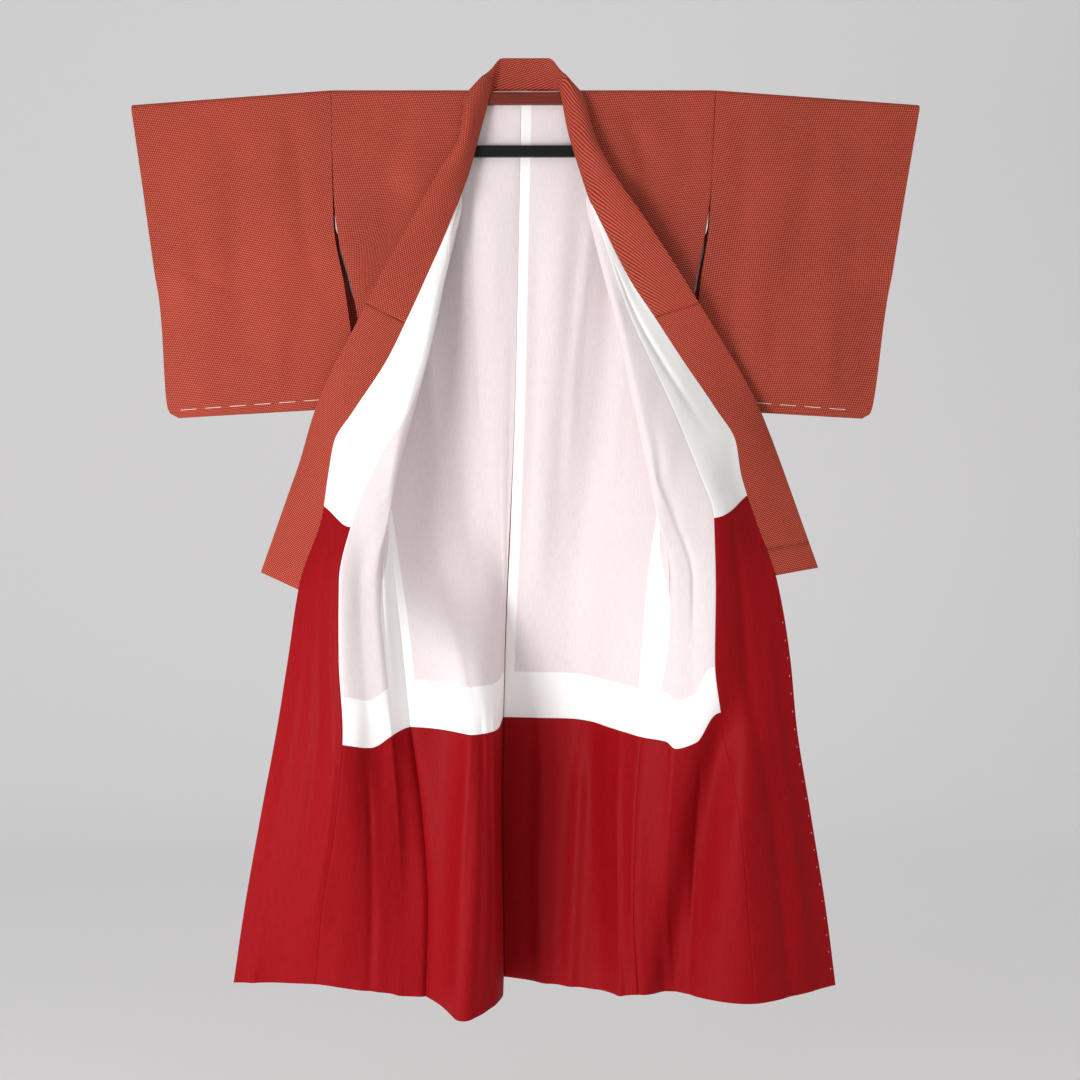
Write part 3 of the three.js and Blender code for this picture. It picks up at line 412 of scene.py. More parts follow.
class Side:
    """One side of the body's middle surface, as points for a share of the way down and a
    knot across. Shares: -1 to 0 over the bar, then 1, 2 and 3 at the three lines."""

    def __init__(self, side):
        self.side = side
        self.sign = -1 if side == "left" else 1
        self.centre = {name: smooth_curve(CENTRE["z"][::-1], CENTRE[name][::-1]) for name in "xy"}
        self.back = by_height(BACK_COLUMNS, BACK[side])
        self.front = by_height(FRONT_COLUMNS, FRONT[side])
        seam_y, sink = self.front["sideY"], SIDE_SINK[side]
        self.front["sideY"] = lambda z: seam_y(z) + sink * smooth_step(-z, *SINK_HEIGHTS)
        self.lines = [smooth_curve(range(9), line) for line in LINES[side]]
        self.seam_knot = smooth_curve(SEAM_SHARES, SEAM_KNOTS[side])

    def height(self, share, place):
        """Straight mix between the lines above and below the share."""
        levels = np.stack([np.full_like(place, ROLL_CENTRE_Z)]
                          + [line(place) for line in self.lines])
        i = np.clip(share.astype(int), 0, 2)
        return pick(levels, i) + (pick(levels, i + 1) - pick(levels, i)) * (share - i)

    def back_knots(self, z):
        """The knots from the centre seam to the side; the slit's back edge swings out."""
        side_y = self.front["sideY"](z)
        reach = BACK_EDGE_REACH * smooth_step(-z, 215, 250) * (1 - smooth_step(-z, 300, 349))
        return ([self.sign * self.centre["x"](z), self.back["quarter"](z), self.back["bulge"](z),
                 self.front["side"](z) + reach],
                [self.centre["y"](z), self.back["quarterY"](z), self.back["bulgeY"](z),
                 np.where(z > SLIT_BOTTOM, -side_y, side_y)])

    def front_knots(self, z):
        """The knots from the side seam to the overlap's edge, mixed between a flat front and
        one that turns back on itself round the roll."""
        at = {name: curve(z) for name, curve in self.front.items()}
        turn, radius = at["turn"], at["radius"]

        def mixed(target, share, fold_x, fold_y):
            flat_x = at["roll"] + (at[target] - at["roll"]) * share
            flat_y = at["rollY"] + (at[target + "Y"] - at["rollY"]) * share
            return (flat_x + (at["roll"] + fold_x * radius - flat_x) * turn,
                    flat_y + (at["rollY"] + fold_y * radius - flat_y) * turn)
        stops = [(at["side"], at["sideY"]), mixed("side", 0.3, 1, 2), mixed("side", 0, 0, 1),
                 mixed("okumi", 0.4, 1, 0), (at["okumi"], at["okumiY"]),
                 (at["edge"], at["edgeY"])]
        return [x for x, _ in stops], [y for _, y in stops]

    def _seam_dent(self, z, away):
        """A narrow bell-shaped dent along the side seam, in the red lining only."""
        return SEAM_DENT * smooth_step(-z, *DENT_HEIGHTS) * np.exp(-away**2)

    def _hung(self, share, knot, knots_at, x, y, z, facing):
        """Over the bar a quarter circle, below it the hanging cloth."""
        hanging = np.stack([self.sign * x, y, z], axis=-1)
        top_x = through_knots(knots_at(np.full_like(z, ROLL_CENTRE_Z))[0], knot)
        angle = np.clip(share + 1, 0, 1) * math.pi / 2
        rolled = np.stack([self.sign * top_x, facing * ROLL_RADIUS * np.sin(angle),
                           ROLL_CENTRE_Z + ROLL_RADIUS * np.cos(angle)], axis=-1)
        return np.where((share < 0)[..., None], rolled, hanging)

    def back_point(self, share, knot):
        """The back knots' curve at the share's height, less its folds, dent and hang."""
        z = self.height(np.maximum(share, 0), knot)
        xs, ys = self.back_knots(z)
        x, y = through_knots(xs, knot), through_knots(ys, knot)
        calm = smooth_step(-z, 10, 120)
        calm = calm * smooth_step(3 - knot, 0, 0.25) * smooth_step(knot, 0, 0.1)
        y = y - fold_depth(BACK_FOLDS[self.side], knot, z)
        y = y + self._seam_dent(z, (3 - knot) / 0.06)
        y = y - calm * unevenness(x - 0.6 * y, z, 11 if self.sign > 0 else 12)
        return self._hung(share, knot, self.back_knots, x, y, z, 1)

    def front_point(self, share, knot):
        """The front knots' curve at the share's height, plus its folds, dent and hang."""
        z = self.height(np.maximum(share, 0), knot + 3)
        xs, ys = self.front_knots(z)
        x, y = through_knots(xs, knot), through_knots(ys, knot)
        calm = smooth_step(-z, 10, 120) * smooth_step(knot, 0, 0.15)
        calm = calm * (1 - 0.6 * smooth_step(knot, 4.8, 5))
        y = y + fold_depth(FRONT_FOLDS[self.side], knot, z) * smooth_step(knot, 0, 0.4)
        even = 5 * (x - xs[0]) / (xs[5] - xs[0])
        y = y + fold_depth(LOW_FOLDS[self.side], even, z) * smooth_step(even, 0, 0.7)
        y = y + self._seam_dent(z, even / 0.07)
        y = y + calm * unevenness(x - 0.6 * y, z, 21 if self.sign > 0 else 22)
        return self._hung(share, knot, self.front_knots, x, y, z, -1)


def unit(normals):
    """Vectors scaled to a length of one."""
    return normals / np.maximum(np.linalg.norm(normals, axis=-1, keepdims=True), 1e-9)


def surface_normals(points, sign):
    """Unit normals of a grid: across times down, turned to the outer face."""
    return unit(np.cross(np.gradient(points, axis=1), np.gradient(points, axis=0)) * sign)


def run_along(points, axis):
    """Distance along the cloth from the first row or column of points."""
    steps = np.diff(points, axis=axis, prepend=np.take(points, [0], axis))
    return np.cumsum(np.linalg.norm(steps, axis=-1), axis)


def edge_roll(points, sides, breadth=2.2):
    """Share of the thickness kept near a border: the square root of a circle's arc over the
    last few millimetres, so that the cloth turns in to its seam."""
    keep = np.ones(points.shape[:2])
    for side in sides:
        axis = 1 if side in ("first", "last") else 0
        if side in ("last", "bottom"):
            run = np.flip(run_along(np.flip(points, axis), axis), axis)
        else:
            run = run_along(points, axis)
        t = np.clip(run / breadth, 0, 1)
        keep = np.minimum(keep, 0.35 + 0.65 * np.sqrt(1 - (1 - t) ** 2))
    return keep


def shell_parts(points, normals, near, far, flip, start=0, closed=False, turned_in_shade_columns=0):
    """A closed wall between two offsets of a grid: both faces and the strips round its
    borders, as vertex places and faces. closed joins the last row to the first, and the last
    argument is how many columns of the inner face show the outer cloth, turned in; on the sleeves
    that darker strip is also painted shade inside the slit."""
    rows, cols = points.shape[:2]
    far = np.broadcast_to(far, (rows, cols))[..., None]
    near = np.broadcast_to(near, (rows, cols))[..., None]
    vertices = np.concatenate([(points + normals * far).reshape(-1, 3),
                               (points + normals * near).reshape(-1, 3)]) / 1000
    index = np.arange(rows * cols).reshape(rows, cols)
    if closed:
        index = np.vstack([index, index[:1]])
    layer = rows * cols

    def quads(a, b, c, d):
        return np.stack([a, b, c, d], axis=-1).reshape(-1, 4)
    outer = quads(index[:-1, :-1], index[:-1, 1:], index[1:, 1:], index[1:, :-1])
    inner = outer[:, ::-1] + layer
    rims = []
    borders = [index[:, 0], index[::-1, -1]]
    if not closed:
        borders += [index[0, ::-1], index[-1]]
    for line in borders:
        rims.append(quads(line[:-1], line[1:], line[1:] + layer, line[:-1] + layer))
    faces = np.concatenate([outer, inner] + rims)
    # Inner faces in the first columns take the outer silk: turned-in cloth that is also painted
    # shade inside the sleeve's slit.
    lined = np.tile(np.arange(cols - 1) >= turned_in_shade_columns, len(inner) // (cols - 1))
    kinds = np.concatenate([np.zeros(len(outer), int), lined.astype(int),
                            np.zeros(sum(len(r) for r in rims), int)])
    if flip:
        faces = faces[:, ::-1]
    return vertices, faces + start, kinds


def new_mesh(name, vertices, faces):
    """A mesh from places in metres and faces of four."""
    mesh = bpy.data.meshes.new(name)
    mesh.from_pydata(vertices.tolist(), [], faces.tolist())
    return mesh


def new_object(name, data):
    """An object at the origin that holds a mesh, a lamp or a camera."""
    holder = bpy.data.objects.new(name, data)
    bpy.context.collection.objects.link(holder)
    return holder


def cloth_piece(name, panels, materials, nodes):
    """One piece of cloth from its panels, each a grid of points in millimetres with its
    offsets. Its UV maps are "cloth", the distances across and down the cloth in metres,
    "seams", those from the first and the last column as shares of the seam allowances there,
    and "borders", the distance from the last row in metres."""
    vertices, faces, kinds, lengths, seams, borders = [], [], [], [], [], []
    start = 0
    for panel in panels:
        points, sign = panel["points"], panel["sign"]
        normals = panel["normals"] if "normals" in panel else surface_normals(points, sign)
        v, f, k = shell_parts(points, normals, panel["near"], panel["far"],
                              panel.get("flip", sign < 0), start, panel.get("closed", False),
                              panel.get("turned_in_shade_columns", 0))
        across, down = run_along(points, 1) / 1000, run_along(points, 0) / 1000
        allowance = panel.get("allowances", (0.001, 0.001))
        for values, pair in (
                (seams, (across / allowance[0], (across[:, -1:] - across) / allowance[1])),
                (borders, (down[-1:] - down, 0 * down)), (lengths, (across * sign, -down))):
            one_face = np.stack(pair, axis=-1).reshape(-1, 2)
            values.append(np.concatenate([one_face, one_face]))
        vertices.append(v)
        faces.append(f)
        kinds.append(k)
        start += len(v)
    faces = np.concatenate(faces)
    mesh = new_mesh(name, np.concatenate(vertices), faces)
    order = np.empty(len(mesh.loops), np.int32)
    mesh.loops.foreach_get("vertex_index", order)
    for map_name, values in (("cloth", lengths), ("seams", seams), ("borders", borders)):
        layer = mesh.uv_layers.new(name=map_name)
        layer.data.foreach_set("uv", np.concatenate(values)[order].astype(np.float32).ravel())
    mesh.polygons.foreach_set("use_smooth", np.ones(len(faces), bool))
    for material in materials:
        mesh.materials.append(material)
    if len(materials) > 1:
        mesh.polygons.foreach_set("material_index", np.concatenate(kinds).astype(np.int32))
    mesh.update()
    piece = new_object(name, mesh)
    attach(piece, "root")
    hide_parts(*nodes)


def spaced(first, last, count, ends=("first", "last")):
    """Even steps from first to last, with a few closer ones at the named ends."""
    steps = np.linspace(0, 1, count)
    close = []
    if "first" in ends:
        close += [0.08 / count, 0.3 / count]
    if "last" in ends:
        close += [1 - 0.08 / count, 1 - 0.3 / count]
    return first + (last - first) * np.unique(np.concatenate([steps, close]))


def hung_panel(body, point, shares, knots, offsets, borders, **more):
    """A panel on the middle surface for rows of shares and, for each row, its knots. The face
    towards the other layer keeps its offset, and the free face turns in to the borders."""
    share = np.broadcast_to(shares[:, None], knots.shape).astype(float)
    points = point(share, knots)
    keep = edge_roll(points, borders)
    near, far = offsets
    if near > 0:
        far = near + (far - near) * keep
    else:
        near = far + (near - far) * keep
    return {"points": points, "sign": body.sign, "near": near, "far": far, **more}


def body_knots(body, shares):
    """Each row's knots across the back, and across the front as far as the overlap's seam."""
    seam = body.seam_knot(np.maximum(shares, 0))
    return np.tile(spaced(0, 3, 44), (len(shares), 1)), spaced(0, 1, 56) * seam[:, None]


# Patterned silk: plain-woven silk dyed red-orange with a tiny pale dotted figure, drawn here
# as staggered dots 4.6 mm by 3.6 mm apart on leaning rows, a little coarser than the real one
# so that it shows. Raw silk scatters the light broadly, and the dye varies a little.
DOT_PITCH = (0.0046, 0.0036)
DOT_LEAN = 0.62

patterned_silk, tree, surface, place = new_material(
    "patterned_plain_woven_silk", Roughness=0.7, Specular_IOR_Level=0.1)
leaned = add_node(tree, "Mapping", {"Rotation": (0, 0, DOT_LEAN)}, {"Vector": place["UV"]})
split = add_node(tree, "SeparateXYZ", links={"Vector": leaned.outputs[0]})
waves = []
for axis, pitch in zip("XY", DOT_PITCH):
    turned = add_node(tree, "Math", {"operation": "MULTIPLY", 1: math.pi * 2 / pitch},
                      {0: split.outputs[axis]})
    waves.append(add_node(tree, "Math", {"operation": "SINE"}, {0: turned.outputs[0]}))
staggered = add_node(tree, "Math", {"operation": "MULTIPLY"},
                     {0: waves[0].outputs[0], 1: waves[1].outputs[0]})
feathered = add_node(tree, "Math", {"operation": "MULTIPLY_ADD", 1: 0.5},
                     {0: noise(tree, place["UV"], 420.0, 3.0), 2: staggered.outputs[0]})
dots = add_node(tree, "MapRange", {"From Min": 0.5, "From Max": 0.85},
                {"Value": feathered.outputs[0]})
dye = noise(tree, place["Object"], 5.0, 3.0)
figure = add_node(tree, "Mix", {"data_type": "RGBA", 7: linear("#d47a64")},
                  {0: dots.outputs[0], 6: two_tone(tree, dye, "#7f1a10", "#8f2317")})
tree.links.new(figure.outputs[2], surface.inputs["Base Color"])
relief(tree, surface, noise(tree, place["UV"], 900.0, 2.0), 0.25, 0.0004)

SILK = (0.35, 1.35)
sides = {side: Side(side) for side in ("left", "right")}
over_bar = np.linspace(-0.999, 0, 9)[:-1]
for side, body in sides.items():
    shares = np.concatenate([over_bar, spaced(0, HEM, 250, ("last",))])
    panels = [hung_panel(body, point, shares, knots, SILK, ("first", "last", "bottom"))
              for point, knots in zip((body.back_point, body.front_point),
                                      body_knots(body, shares))]
    cloth_piece(f"body_silk_{side}", panels, [patterned_silk],
                [f"back_{side}", f"front_{side}"])


# Body linings: a pale, faintly pink upper lining of thin plain silk and a red lower lining of
# satin, sewn edge to edge along a line below the hip and caught to the outer silk at the seams.
# Thin silk gives the eye a soft even white-pink, whiter where its hem and its seam allowances
# double it; satin a deeper red.
DOUBLED_HEM = 0.074
CENTRE_ALLOWANCE = {"left": 0.001, "right": 0.016}
SIDE_ALLOWANCE = {"back": 0.014, "front": 0.042}
NARROW_ALLOWANCE = 0.004
THIN_SILK = {"Roughness": 0.75, "Specular_IOR_Level": 0.15}
THIN_THREADS = ((900, 60, 1), 3.0)
SATIN_THREADS = ((700, 40, 1), 4.0)


def woven(tree, surface, place, threads, low, high):
    """Threads along the cloth as two tones, with their fine relief."""
    field = grain(tree, place["UV"], *threads)
    relief(tree, surface, field, 0.12, 0.0003)
    return two_tone(tree, field, low, high)


def band(tree, distance, breadth):
    """1 within a breadth of a seam or border and 0 from 1.03 times that breadth."""
    return add_node(tree, "MapRange", {"From Min": breadth * 1.03, "From Max": breadth},
                    {"Value": distance}).outputs[0]


def map_axes(tree, name):
    """The two numbers of one of the cloth's UV maps."""
    uv_map = add_node(tree, "UVMap", {"uv_map": name})
    return add_node(tree, "SeparateXYZ", links={"Vector": uv_map.outputs[0]}).outputs


pale_silk, tree, surface, place = new_material("thin_plain_silk_pale", **THIN_SILK)
single = woven(tree, surface, place, THIN_THREADS, "#dccfd0", "#e6dbdc")
to_seams = map_axes(tree, "seams")
doubled = band(tree, map_axes(tree, "borders")["X"], DOUBLED_HEM)
for axis in "XY":
    doubled = add_node(tree, "Math", {"operation": "MAXIMUM"},
                       {0: doubled, 1: band(tree, to_seams[axis], 1.0)}).outputs[0]
layered = add_node(tree, "Mix", {"data_type": "RGBA", 7: linear("#f3f1f0")},
                   {0: doubled, 6: single})
tree.links.new(layered.outputs[2], surface.inputs["Base Color"])

red_satin, tree, surface, place = new_material(
    "red_silk_satin", Roughness=0.55, Specular_IOR_Level=0.07)
tree.links.new(woven(tree, surface, place, SATIN_THREADS, "#840910", "#970d15"),
               surface.inputs["Base Color"])

LINING = (-1.2, -0.35)
RED_LINE = 2.0
for side, body in sides.items():
    for name, material, slot_name, first, last, length, area in (
            ("lining", pale_silk, "pale_lining", 0, RED_LINE, 2 * 1.02, 0.553),
            ("hem", red_satin, "red_lining", RED_LINE, HEM, 2 * 0.43, 0.234)):
        shares = spaced(first, last, int(75 * (last - first)))
        borders = ("first", "last", "bottom", "top")
        if first == 0:
            shares = np.concatenate([over_bar, shares])
            borders = borders[:3]
        back_knots, front_knots = body_knots(body, shares)
        pleat_room = 0.002 + 0.014 * smooth_step(shares, 0.75, 1.2)[:, None]
        back_knots = np.maximum(back_knots, pleat_room)
        back_knots[:, 1:3] += pleat_room
        widening = smooth_step(shares, 1.0, 1.45)[:, None]
        front_allowance = NARROW_ALLOWANCE + (
            SIDE_ALLOWANCE["front"] - NARROW_ALLOWANCE) * widening
        if side == "right":
            front_allowance = front_allowance * (1 - 0.45 * smooth_step(shares, 1.35, 2)[:, None])
        panels = [hung_panel(body, point, shares, knots, LINING, borders, allowances=allowances)
                  for point, knots, allowances in (
                      (body.back_point, back_knots,
                       (CENTRE_ALLOWANCE[side], SIDE_ALLOWANCE["back"])),
                      (body.front_point, front_knots, (front_allowance, 0.001)))]
        cloth_piece(f"{name}_silk_{side}", panels, [material],
                    [f"{name}_back_{side}", f"{name}_front_{side}"])


# Overlap strips: narrow panels sewn to the fronts, tapering to a point up at the collar, in
# the same patterned silk, lined with white silk above and red satin below.
white_silk, tree, surface, place = new_material("thin_plain_silk_white", **THIN_SILK)
tree.links.new(woven(tree, surface, place, THIN_THREADS, "#e8e7e4", "#f0efed"),
               surface.inputs["Base Color"])

for side, body in sides.items():
    for name, material, slot_name, first, last, offsets, node, flat, area in (
            ("overlap_silk", patterned_silk, "patterned_silk", OVERLAP_TOP, HEM, SILK, "okumi",
             (0.15, 1.26), 0.142),
            ("overlap_lining", white_silk, "white_lining", OVERLAP_TOP, 1, LINING, "lining_okumi",
             (0.12, 0.46), 0.032),
            ("overlap_hem", red_satin, "red_lining", 1, HEM, LINING, "hem_okumi",
             (0.15, 0.8), 0.105)):
        shares = spaced(first, last, max(int(88 * (last - first)), 60))
        seam = body.seam_knot(shares)[:, None]
        borders = ("first", "bottom") if first == OVERLAP_TOP else ("first", "top", "bottom")
        panel = hung_panel(body, body.front_point, shares, seam + (5 - seam) * spaced(0, 1, 26),
                           offsets, borders)
        cloth_piece(f"{name}_{side}", [panel], [material], [f"{node}_{side}"])


# Collar: a long folded band of the same silk, 55 mm wide at the back neck and 72 mm lower
# down, with an over-collar of the same silk round the neck that ends in a seam on each side.
# It stands up behind the neck and turns outwards down the fronts, its inner face showing.
COLLAR_COLUMNS = ["z", "free", "freeY", "freeZ", "belly", "lift"]
COLLAR = {"left": [
    [2, 75, -6, 25, 9, 13],
    [-31, 96, -14, 5, 15, 8],
    [-51, 100, -24, -29, 17, 3],
    [-89, 106, -34, -71, 15, 0],
    [-130, 135, -42, -121, 9, 0],
    [-179, 158, -46, -163, 6, 0],
    [-241, 190, -48, -221, 4, 0],
    [-308, 224, -48, -281, 3, 0],
    [-397, 267, -42, -364, 2, 0],
    [-474, 305, -34, -438, 2, 0],
    [-522, 335, -24, -494, 2, 0],
    [-551, 343, -21, -524, 3, 0],
    [-581, 354, -27, -566, 3, 0],
    [-627, 369, -36, -614, 3, 0],
    [-672, 383, -48, -658, 2, 0],
    [-724, 401, -60, -713, 2, 0],
    [-795, 418, -74, -768, 2, 0],
], "right": [
    [2, 69, -6, 28, 9, 13],
    [-31, 91, -14, 5, 15, 8],
    [-54, 101, -24, -29, 17, 3],
    [-93, 115, -34, -78, 15, 0],
    [-138, 145, -42, -135, 9, 0],
    [-187, 173, -46, -177, 6, 0],
    [-234, 199, -48, -215, 4, 0],
    [-296, 233, -48, -267, 3, 0],
    [-377, 289, -42, -356, 2, 0],
    [-437, 325, -34, -414, 2, 0],
    [-505, 364, -24, -479, 2, 0],
    [-557, 384, -21, -524, 3, 0],
    [-597, 403, -27, -574, 3, 0],
    [-646, 422, -36, -630, 3, 0],
    [-703, 442, -50, -693, 2, 0],
    [-780, 466, -74, -768, 2, 0],
]}
COLLAR_SHARES = [0, 0.06, 0.13, 0.2, 0.235, 0.275, 0.35, 0.425, 0.49, 0.56, 0.65, 0.74, 0.82,
                 0.91, 1, 1.365]
OVERCOLLAR_RUNG = 9
PIECING_HEIGHT = -728.0
TUCKED_UNDER = -0.03
NECK_COLUMNS = ["seam", "seamY", "seamZ", "free", "freeY", "freeZ", "belly"]
NECK = [
    [0, 8.8, 6, 0, 12, 66, 0],
    [26, 8.8, 6, 22, 12, 66, 0],
    [46, 8.6, 6, 38, 10.5, 65.5, 1],
    [53.5, 5, 8.6, 44, 8, 62, 3],
    [54.5, -1, 10.2, 54, 3, 48, 5],
]
COLLAR_HALF = 1.1


def collar_rungs(body):
    """Rungs down one side: the seam point on the front's edge, the free edge's point from the
    table, the belly and lift between them, the share down the front, and the side's sign."""
    shares = np.array(COLLAR_SHARES)
    seam = body.front_point(shares[None], np.full((1, len(shares)), 5.0))[0]
    at = {name: curve(seam[:, 2])
          for name, curve in by_height(COLLAR_COLUMNS, COLLAR[body.side]).items()}
    free = np.stack([body.sign * at["free"], at["freeY"], at["freeZ"]], axis=-1)
    return np.column_stack([seam, free, at["belly"], at["lift"], shares,
                            np.full(len(shares), body.sign)])


def neck_rungs(sign):
    """Rungs round the back of the neck from the centre out."""
    at = columns(NECK_COLUMNS, NECK)
    none = 0 * at["belly"]
    return np.stack([sign * at["seam"], at["seamY"], at["seamZ"], sign * at["free"], at["freeY"],
                     at["freeZ"], at["belly"], none, none, none], axis=1)



def collar_surface(rungs, first, last, count):
    """Rungs joined by smooth curves, with the seam on the front's own edge where there is one.
    Across, a straight step from just under that edge to the free edge, an arch of four times
    t times one minus t, and two ripples that run along the band."""
    places = np.linspace(first, last, count)
    dense = np.stack([smooth_curve(range(len(rungs)), column)(places) for column in rungs.T], 1)
    t = np.concatenate([[TUCKED_UNDER], spaced(0, 1, 22)])[None, :, None]
    arch = np.maximum(4 * t * (1 - t), 0)
    for body in sides.values():
        sewn = dense[:, 9] * body.sign > 0.9999
        if sewn.any():
            edge_shares = dense[sewn, 8][None]
            dense[sewn, 0:3] = body.front_point(edge_shares, np.full(edge_shares.shape, 5.0))[0]
    seam, free = dense[:, None, 0:3], dense[:, None, 3:6]
    belly, lift = dense[:, None, 6:7], dense[:, None, 7:8]
    ripple = 0.9 * np.sin(places * 2.1)[:, None, None] * np.sin(t * 3.14)
    ripple = ripple + 0.35 * np.sin(places * 5.3 + 1)[:, None, None] * np.sin(t * 6.3)
    out = np.array([0, -1, 0]) * (belly * arch + ripple) + np.array([0, 0, 1]) * lift * arch
    return seam + (free - seam) * t + out


left_run, right_run = (collar_rungs(body) for body in sides.values())
last_rung = len(COLLAR_SHARES) - 1
neck_run = np.concatenate([
    left_run[:OVERCOLLAR_RUNG + 1][::-1], neck_rungs(-1)[::-1], neck_rungs(1)[1:],
    right_run[:OVERCOLLAR_RUNG + 1]])
for place, rungs, first, last, count, length, area in (
        ("neck", neck_run, 0, len(neck_run) - 1, 240, 1.06, 0.065),
        ("left", left_run, OVERCOLLAR_RUNG, last_rung, 90, 0.42, 0.029),
        ("right", right_run, OVERCOLLAR_RUNG, last_rung, 90, 0.42, 0.029)):
    ends = [first, last]
    if place == "right":
        heights = rungs[first:, [2, 5]].mean(axis=1)
        ends.insert(1, np.interp(-PIECING_HEIGHT, -heights, np.arange(first, len(rungs))))
    panels = []
    for upper, lower in zip(ends[:-1], ends[1:]):
        rows = math.ceil(count * (lower - upper) / (last - first))
        points = collar_surface(rungs, upper, lower, rows)
        keep = edge_roll(points, ("first", "last", "top", "bottom"), 3.0)
        panels.append({"points": points, "sign": 1, "near": -COLLAR_HALF * keep,
                       "far": COLLAR_HALF * keep})
    cloth_piece(f"collar_silk_{place}", panels, [patterned_silk],
                [f"collar_{place}"])


# Sleeves: each a 330 mm wide length folded at the top and joined along the bottom, 500 mm
# deep, with the cuff opening at the outer edge and the inner edge free below the armhole.
# The outside is the patterned silk and the inside is lined with the pale one, save a narrow strip
# beside the inner edge where the outer silk turns in; that darker strip is also painted shade
# inside the slit.
SLEEVE_COLUMNS = ["share", "x", "z"]
SLEEVE_EDGES = {
    "left": {
        "inner": [[0, 314.5, 2], [0.42, 309.5, -207], [0.63, 291, -314], [0.82, 277, -420],
                  [1, 272, -502]],
        "outer": [[0, 637, -22], [0.3, 615, -171], [0.68, 590, -362], [0.93, 581, -496],
                  [0.975, 576, -512], [1, 563, -519]],
    },
    "right": {
        "inner": [[0, 307.5, 2], [0.42, 296.5, -207], [0.63, 281, -314], [0.82, 274, -420],
                  [1, 272, -504]],
        "outer": [[0, 637, -22], [0.3, 611, -171], [0.68, 581, -362], [0.93, 563, -497],
                  [0.975, 558, -513], [1, 546, -520]],
    },
}
CUFF_OPENING_SHARE = 0.52
JOINED_SHARE = 0.42
BOTTOM_CURVE_SHARE = 0.975
SLEEVE_WALL = (-0.95, 1.3)
SLEEVE_FULLNESS = 14.0
CLOSED_HALF_WIDTH = 1.7
BACK_WALL_REACH = 6.0
# Share of the sleeve's width from the inner edge whose inside shows the turned-in outer silk, a
# darker strip that is also painted shade inside the slit.
TURNED_IN_SHADE_SHARE = 0.06
SLEEVE_FOLDS = {"left": [
    [0.2, 0.12, 0.02, 0.75, 0.05, 2.6],
    [0.32, 0.36, 0.02, 0.9, 0.1, -2.8],
    [0.45, 0.62, 0.04, 0.9, 0.07, 2.6],
    [0.8, 0.7, 0.3, 1.0, 0.06, 2.4],
    [0.62, 0.9, 0.05, 0.7, 0.09, -2.6],
    [0.95, 0.55, 0.5, 0.62, 0.05, 2.0],
], "right": [
    [0.15, 0.2, 0.02, 0.8, 0.05, 2.6],
    [0.3, 0.34, 0.05, 0.9, 0.1, -2.4],
    [0.55, 0.4, 0.04, 0.9, 0.07, 2.8],
    [0.62, 0.7, 0.1, 0.85, 0.09, -2.6],
    [0.75, 0.85, 0.3, 1.0, 0.06, 2.4],
]}


def sleeve_rings(side, steps, wall_shares, turns):
    """Rings round the sleeve: up the back wall, over the fold by a quarter circle each way,
    down the front wall, and together at the bottom by the square root of a circle's arc."""
    body = sides[side]
    edges = {}
    for name, rows in SLEEVE_EDGES[side].items():
        at = columns(SLEEVE_COLUMNS, rows)
        edges[name] = [smooth_curve(at["share"], at[axis]) for axis in "xz"]
    walls, bends = len(wall_shares), len(turns) - 1
    share = np.concatenate([wall_shares[::-1], np.zeros(2 * bends + 1), wall_shares[:-1]])
    facing = np.concatenate([np.ones(walls + bends), [0], -np.ones(bends + walls - 1)])
    turn = np.concatenate([np.ones(walls), turns[::-1][:-1], [0], turns[1:], np.ones(walls - 1)])
    share, facing, turn = share[:, None], facing[:, None], turn[:, None]
    step, at_back = steps[None], facing > 0
    inner_x, inner_z = (curve(share) for curve in edges["inner"])
    outer_x, outer_z = (curve(share) for curve in edges["outer"])
    x, z = inner_x + (outer_x - inner_x) * step, inner_z + (outer_z - inner_z) * step
    slit = smooth_step(share, 0.42, 0.48) * (1 - smooth_step(share, 0.7, 0.9))
    reach = BACK_WALL_REACH * (1 + 1.1 * smooth_step(share, 0.5, 0.62)) * slit
    x = x - reach * (1 - smooth_step(step, 0, 0.15)) * at_back
    swell = np.sin(math.pi / 2 * np.minimum(share * 1.25, 1))
    rounded = (ROLL_RADIUS + (SLEEVE_FULLNESS - ROLL_RADIUS) * swell) * (
        1 - 0.75 * smooth_step(share, 0.8, 1))
    beside = np.where(share < JOINED_SHARE, -body.front["sideY"](inner_z), rounded)
    depth = beside + (rounded - beside) * smooth_step(step, 0, 0.3)
    pinch = smooth_step(share, CUFF_OPENING_SHARE, CUFF_OPENING_SHARE + 0.1) * smooth_step(
        step, 0.72, 1)
    depth = depth + (CLOSED_HALF_WIDTH - depth) * pinch
    closing = np.clip((share - BOTTOM_CURVE_SHARE) / (1 - BOTTOM_CURVE_SHARE), 0, 1)
    depth = depth * np.sqrt(1 - closing**2)
    folds = np.zeros_like(x)
    for start, end, top, bottom, width, deep in SLEEVE_FOLDS[side]:
        along = (share - top) / (bottom - top)
        bell = np.exp(-((step - start - (end - start) * along) / width) ** 2)
        folds += deep * bell * smooth_step(along, 0, 0.2) * (1 - smooth_step(along, 0.8, 1.0))
    calm = smooth_step(share, 0, 0.1) * (1 - smooth_step(share, 0.85, 0.97))
    calm = calm * smooth_step(step, 0, 0.1) * (1 - smooth_step(step, 0.9, 1) * 0.7)
    hang = unevenness(x, z, 31 if body.sign > 0 else 32)
    depth = depth - calm * (0.9 * hang + folds)
    depth = depth + 3.0 * slit * (1 - smooth_step(step, 0.05, 0.2)) * at_back
    over = ROLL_RADIUS * np.sin(turn * math.pi / 2)
    y = facing * np.where(share > 0, depth, over)
    z = z + np.where(share > 0, 0, ROLL_RADIUS * np.cos(turn * math.pi / 2))
    return np.stack([body.sign * x, y, z], axis=-1)


def ring_normals(points, sign):
    """Normals of a tube whose rows close into a ring: around times along."""
    around = np.roll(points, -1, axis=0) - np.roll(points, 1, axis=0)
    return unit(np.cross(around, np.gradient(points, axis=1)) * sign)


